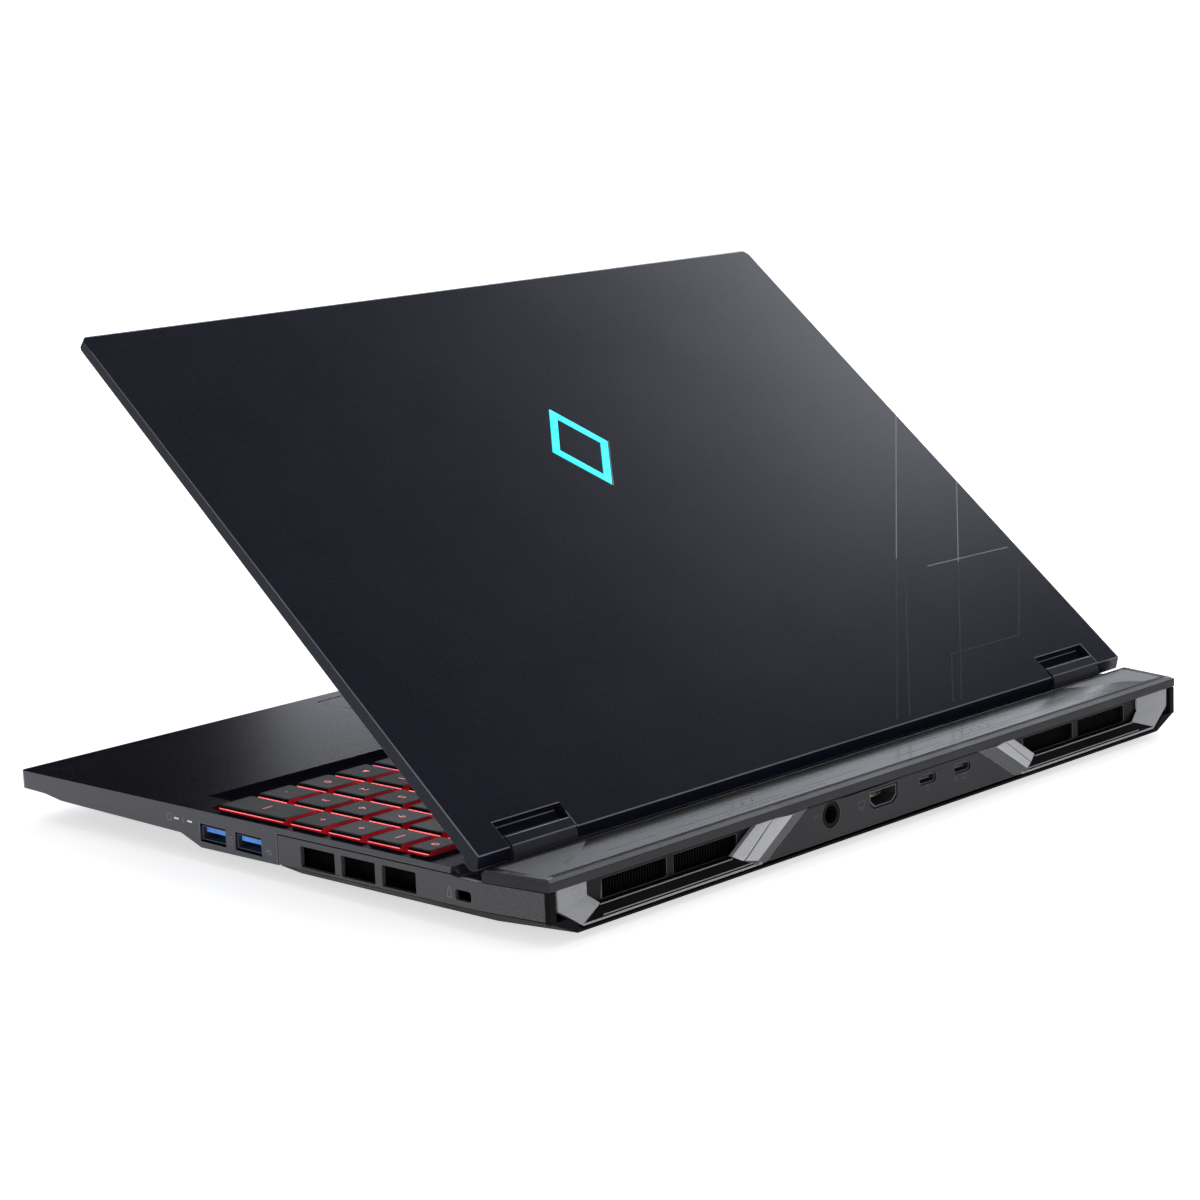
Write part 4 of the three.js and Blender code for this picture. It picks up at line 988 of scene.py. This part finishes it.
def build_side_marks():
    right = box_mm("palmrest_deck")[1].x
    lamps = [[(y - 1.3, 14.2), (y + 1.3, 14.2), (y + 1.3, 14.85), (y - 1.3, 14.85)] for y in LAMPS_Y]
    # The lamp windows take the pale silver of the painted edge highlights.
    mark_piece("status_lamps", lamps, right, 1, "yzx", SILVER_HIGHLIGHT)
    icons = ring_marks(-49.6, 14.5, 1.2, 1.2) + [strip([(-41.5, 13.4), (-41.5, 15.6)], 0.4)]
    icons += ring_marks(-15.3, 11.2, 1.0, 1.2) + [strip([(3.6, 10.3), (6.2, 11.6)], 0.35)]
    icons += ring_marks(6.2, 10.4, 0.8, 0.6)
    mark_piece("side_icons", icons, right, 1, "yzx")
    lock_y = 97.2
    lock = ring_marks(lock_y, 12.0, 0.9, 1.1) + ring_marks(lock_y, 13.9, 0.5, 0.7)
    mark_piece("lock_icon", lock, box_mm("side_panel_right")[1].x, 1, "yzx")


def build_rear_marks():
    face = box_mm("rear_io_panel")[1].y
    marks = [strip([(45.5, 14.4), (42.9, 14.4)], 0.3)]
    marks += [strip([(45.5 - k, 13.5), (45.0 - k, 13.5)], 0.3) for k in (0, 1.05, 2.1)]
    marks += ring_marks(19.6, 13.2, 1.7, 1.1, 0.3) + [strip([(18.6, 11.4), (20.6, 11.4)], 0.3)]
    marks += [strip([(-18.2, 10.2), (-18.2, 12.2)], 0.35), strip([(-17.3, 11.4), (-18.2, 12.4)], 0.3)]
    marks += ring_marks(-39.6, 11.0, 1.5, 0.8, 0.3) + [strip([(-35.4, 11.4), (-33.2, 11.4)], 0.3)]
    marks += [strip([(-35.4, 10.4), (-33.2, 10.4)], 0.3)]
    mark_piece("rear_icons", marks, face, 1, "xzy", PRINT_DARK)
    # A near-black line in the gap above the panel: painted shade.
    bm = bmesh.new()
    block(bm, (-48, 48), (face - 0.3, face + 0.05), (17.55, 17.75))
    piece("panel_top_line", bm, materials=(GROOVE_SHADE,))


def build_port_inserts():
    """Contacts inside the rear sockets."""
    low, high = box_mm("hdmi_port")
    bm = bmesh.new()
    for i in range(9):
        x = low.x + 3.4 + i * (high.x - low.x - 6.8) / 8
        block(bm, (x - 0.28, x + 0.28), (low.y + 2, low.y + 5.9), (low.z + 2.2, low.z + 3.0))
    piece("hdmi_contacts", bm, materials=(GOLD,))
    for name in ("inner", "outer"):
        low, high = box_mm(f"usb_c_port_{name}")
        bm = bmesh.new()
        for i in range(6):
            x = low.x + 2.2 + i * (high.x - low.x - 4.4) / 5
            block(bm, (x - 0.2, x + 0.2), (low.y + 2, high.y - 1.9), (low.z + 1.2, low.z + 1.3))
        piece(f"usb_c_contacts_{name}", bm, materials=(GOLD,))


# ---------------------------------------------------------------- underside
SCREW_SEATS = [(-140, -86), (-60, -100), (60, -100), (140, -86), (-152, 20), (0, 0), (152, 20),
               (-150, 112), (-50, 108), (50, 108), (150, 112)]


SCREW_RINGS = [(2.1, 0.75), (2.4, 0.45), (2.1, 0.2), (1.5, 0.12)]
CROSS_ARM, CROSS_HALF_WIDTH = 1.2, 0.25


def bar_outline(x, y, half_x, half_y):
    """The outline of a rectangle around a point."""
    return [(x - half_x, y - half_y), (x + half_x, y - half_y),
            (x + half_x, y + half_y), (x - half_x, y + half_y)]


def build_screws():
    """Cross-head screws in the bottom cover's seats."""
    floor = box_mm("bottom_cover")[0].z
    bm = bmesh.new()
    for x, y in SCREW_SEATS:
        loft(bm, [[(px, py, floor + z) for px, py in disc(x, y, radius, 24)] for radius, z in SCREW_RINGS])
    # The walls of the cross recesses are near-black: painted shade.
    obj = piece("cover_screws", bm, materials=(FIN_BLACK, FIN_BLACK, GROOVE_SHADE),
                bevel=dict(width=0.05, segments=1))
    crosses = [bar_outline(x, y, CROSS_ARM, CROSS_HALF_WIDTH) for x, y in SCREW_SEATS]
    across = [bar_outline(x, y, CROSS_HALF_WIDTH, CROSS_ARM) for x, y in SCREW_SEATS]
    for outlines in (crosses, across):
        tool = cutter(outlines, floor - 1, floor + 0.5)
        subtract(obj, tool)
        baked(obj)
        bpy.data.objects.remove(tool)


# ---------------------------------------------------------------- carried-over CAD nodes
EDGE_WIDTHS = {
    "bottom_cover": 0.3, "foot_front": 0.3, "foot_rear": 0.3, "battery": 0.6,
    "side_panel_right": 0.18, "side_panel_left": 0.18, "rear_io_panel": 0.15, "touchpad": 0.15,
    "screen_bezel": 0.15, "exhaust_grille_right": 0.2, "exhaust_grille_left": 0.2,
}
USUAL_EDGE_WIDTH = 0.1
# The port shells take the dark steel, painted shade for their sockets.
SPECIAL = {
    "exhaust_grille_right": BLACK, "exhaust_grille_left": BLACK, "keyboard_plate": BLACK,
    "bottom_cover": MATT_BLACK, "touchpad": NAVY_DECK, "hdmi_port": SHADED_SHELL, "usb_c_port_inner": SHADED_SHELL,
    "usb_c_port_outer": SHADED_SHELL, "usb_a_port_front": SHADED_SHELL, "usb_a_port_rear": SHADED_SHELL,
}
# Finishes whose rounded edges take the lighter copy as a painted highlight.
HIGHLIGHT_EDGED = ("navy_metal", "dark_plastic", "silver_trim")


def finish_cad_nodes():
    """Round edges and real materials on every CAD node that still shows; the edges of navy, charcoal and silver
    parts get a painted highlight.
    """
    for name, obj in NODES.items():
        base, edge = FINISH[SLOT_OF[name]]
        set_materials(obj, (SPECIAL.get(name, base), edge))
        smooth(obj.data)
        if obj.hide_render:
            continue
        add_clean_up(obj)
        highlighted = SLOT_OF[name] in HIGHLIGHT_EDGED and name != "bottom_cover"
        add_bevel(obj, EDGE_WIDTHS.get(name, USUAL_EDGE_WIDTH), edge_slot=1 if highlighted else -1)


# ---------------------------------------------------------------- stage
CAMERA_AZIMUTH = 134.507
CAMERA_ELEVATION = 11.175
CAMERA_ROLL = -2.368
CAMERA_DISTANCE = 1.412222
CAMERA_TARGET = Vector((-0.166736, -0.169430, 0.021565))
CAMERA_LENS = 91.094


def build_camera():
    azimuth, elevation = math.radians(CAMERA_AZIMUTH), math.radians(CAMERA_ELEVATION)
    back = Vector((math.sin(azimuth) * math.cos(elevation), -math.cos(azimuth) * math.cos(elevation),
                   math.sin(elevation)))
    right = (-back).cross(Vector((0, 0, 1))).normalized()
    up = right.cross(-back)
    roll = math.radians(CAMERA_ROLL)
    tilted_right = right * math.cos(roll) + up * math.sin(roll)
    tilted_up = up * math.cos(roll) - right * math.sin(roll)
    camera = bpy.data.objects.new("camera", bpy.data.cameras.new("camera"))
    camera.data.lens = CAMERA_LENS
    camera.data.sensor_width = 36
    camera.data.clip_end = 200
    axes = Matrix((tilted_right, tilted_up, back)).transposed().to_4x4()
    camera.matrix_world = Matrix.Translation(CAMERA_TARGET + back * CAMERA_DISTANCE) @ axes
    bpy.context.scene.collection.objects.link(camera)
    bpy.context.scene.camera = camera


def light_only(holder, objects, included):
    """Makes a light reach only these objects, or every object but these."""
    group = bpy.data.collections.new(f"{holder.name}_targets")
    for obj in objects:
        group.objects.link(obj)
    holder.light_linking.receiver_collection = group
    if not included:
        for entry in group.collection_objects:
            entry.light_linking.link_state = "EXCLUDE"


def area_light(name, place, toward, size, power, tint=(1, 1, 1)):
    light = bpy.data.lights.new(name, "AREA")
    light.shape = "RECTANGLE"
    light.size, light.size_y = size
    light.energy = power
    light.color = tint
    obj = bpy.data.objects.new(name, light)
    obj.location = place
    obj.rotation_mode = "QUATERNION"
    obj.rotation_quaternion = (Vector(toward) - Vector(place)).to_track_quat("-Z", "Y")
    obj.visible_camera = False
    bpy.context.scene.collection.objects.link(obj)
    return obj


FLOOR_REACH, FLOOR_WALL, FLOOR_BEND = 14.0, 0.5, 0.3
BEND_STEPS = 12


def build_floor():
    """A pale floor that bends up into a low wall far behind the laptop."""
    bend_start = -FLOOR_REACH + FLOOR_BEND
    profile = [(FLOOR_REACH, 0.0), (bend_start, 0.0)]
    for step in range(1, BEND_STEPS + 1):
        angle = math.radians(90 * step / BEND_STEPS)
        profile.append((bend_start - FLOOR_BEND * math.sin(angle), FLOOR_BEND * (1 - math.cos(angle))))
    profile.append((-FLOOR_REACH, FLOOR_WALL))
    turn = Matrix.Rotation(math.radians(45), 3, "Z")
    bm = bmesh.new()
    rows = [[bm.verts.new(turn @ Vector((u, w, z))) for w in (-FLOOR_REACH, FLOOR_REACH)] for u, z in profile]
    for first, second in zip(rows, rows[1:]):
        bm.faces.new((first[0], first[1], second[1], second[0]))
    mesh = bpy.data.meshes.new("floor")
    bmesh.ops.recalc_face_normals(bm, faces=bm.faces)
    bm.to_mesh(mesh)
    bm.free()
    floor = bpy.data.objects.new("floor", mesh)
    bpy.context.scene.collection.objects.link(floor)
    smooth(mesh)
    mesh.materials.append(studio_paper())


def studio_paper():
    """Matt near-white paper, partly lit from within so that it stays pale in the distance."""
    n = Nodes("studio_paper")
    clouds = n.noise(1.5, 3)
    n.link(n.mix(clouds, (0.88, 0.88, 0.885), (0.92, 0.92, 0.92)), n.shader.inputs["Base Color"])
    n.shader.inputs["Roughness"].default_value = 0.9
    n.shader.inputs["Specular IOR Level"].default_value = 0.1
    n.shader.inputs["Emission Color"].default_value = (1, 1, 1, 1)
    n.shader.inputs["Emission Strength"].default_value = 0.64
    return n.material


def build_lights():
    """A weak overhead light, a softbox for all but the deck, a small light for the deck, a rear fill."""
    sun = bpy.data.lights.new("overhead", "SUN")
    sun.energy = 0.35
    sun.angle = math.radians(50)
    above = bpy.data.objects.new("overhead", sun)
    above.rotation_mode = "QUATERNION"
    above.rotation_quaternion = Vector((0.15, 0.1, -1)).to_track_quat("-Z", "Y")
    bpy.context.scene.collection.objects.link(above)
    lid_middle = (0, 0.03, 0.12)
    softbox = area_light("softbox", (-1.54, -0.838, 1.057), lid_middle, (1.87, 0.97), 24, (0.89, 0.925, 1.0))
    deck_light = area_light("deck_light", (-1.229, -1.548, 0.161), lid_middle, (0.23, 0.07), 0.8,
                            (0.9, 0.92, 1.0))
    deck = [bpy.data.objects[name] for name in ("deck_shell", "touchpad")]
    light_only(softbox, deck, False)
    light_only(deck_light, deck, True)
    area_light("rear_fill", (0.4, 2.2, 0.55), (0, 0.1, 0), (1.4, 0.5), 6, (1.0, 0.99, 0.98))


def build_world():
    """An even pale sky that lights matt surfaces and doesn't show in glossy ones."""
    world = bpy.data.worlds.new("studio")
    world.use_nodes = True
    sky = world.node_tree.nodes["Background"]
    sky.inputs["Color"].default_value = (0.95, 0.965, 1.0, 1)
    sky.inputs["Strength"].default_value = 0.38
    world.cycles_visibility.glossy = False
    bpy.context.scene.world = world
    bpy.context.scene.view_settings.view_transform = "Standard"


build_camera()
build_lid()
build_long_edges()
build_keyboard()
build_rear_cap()
build_fin_stacks()
build_exhaust_trims()
build_usb_inserts()
build_side_marks()
build_rear_marks()
build_port_inserts()
build_screws()
finish_cad_nodes()
build_floor()
build_lights()
build_world()
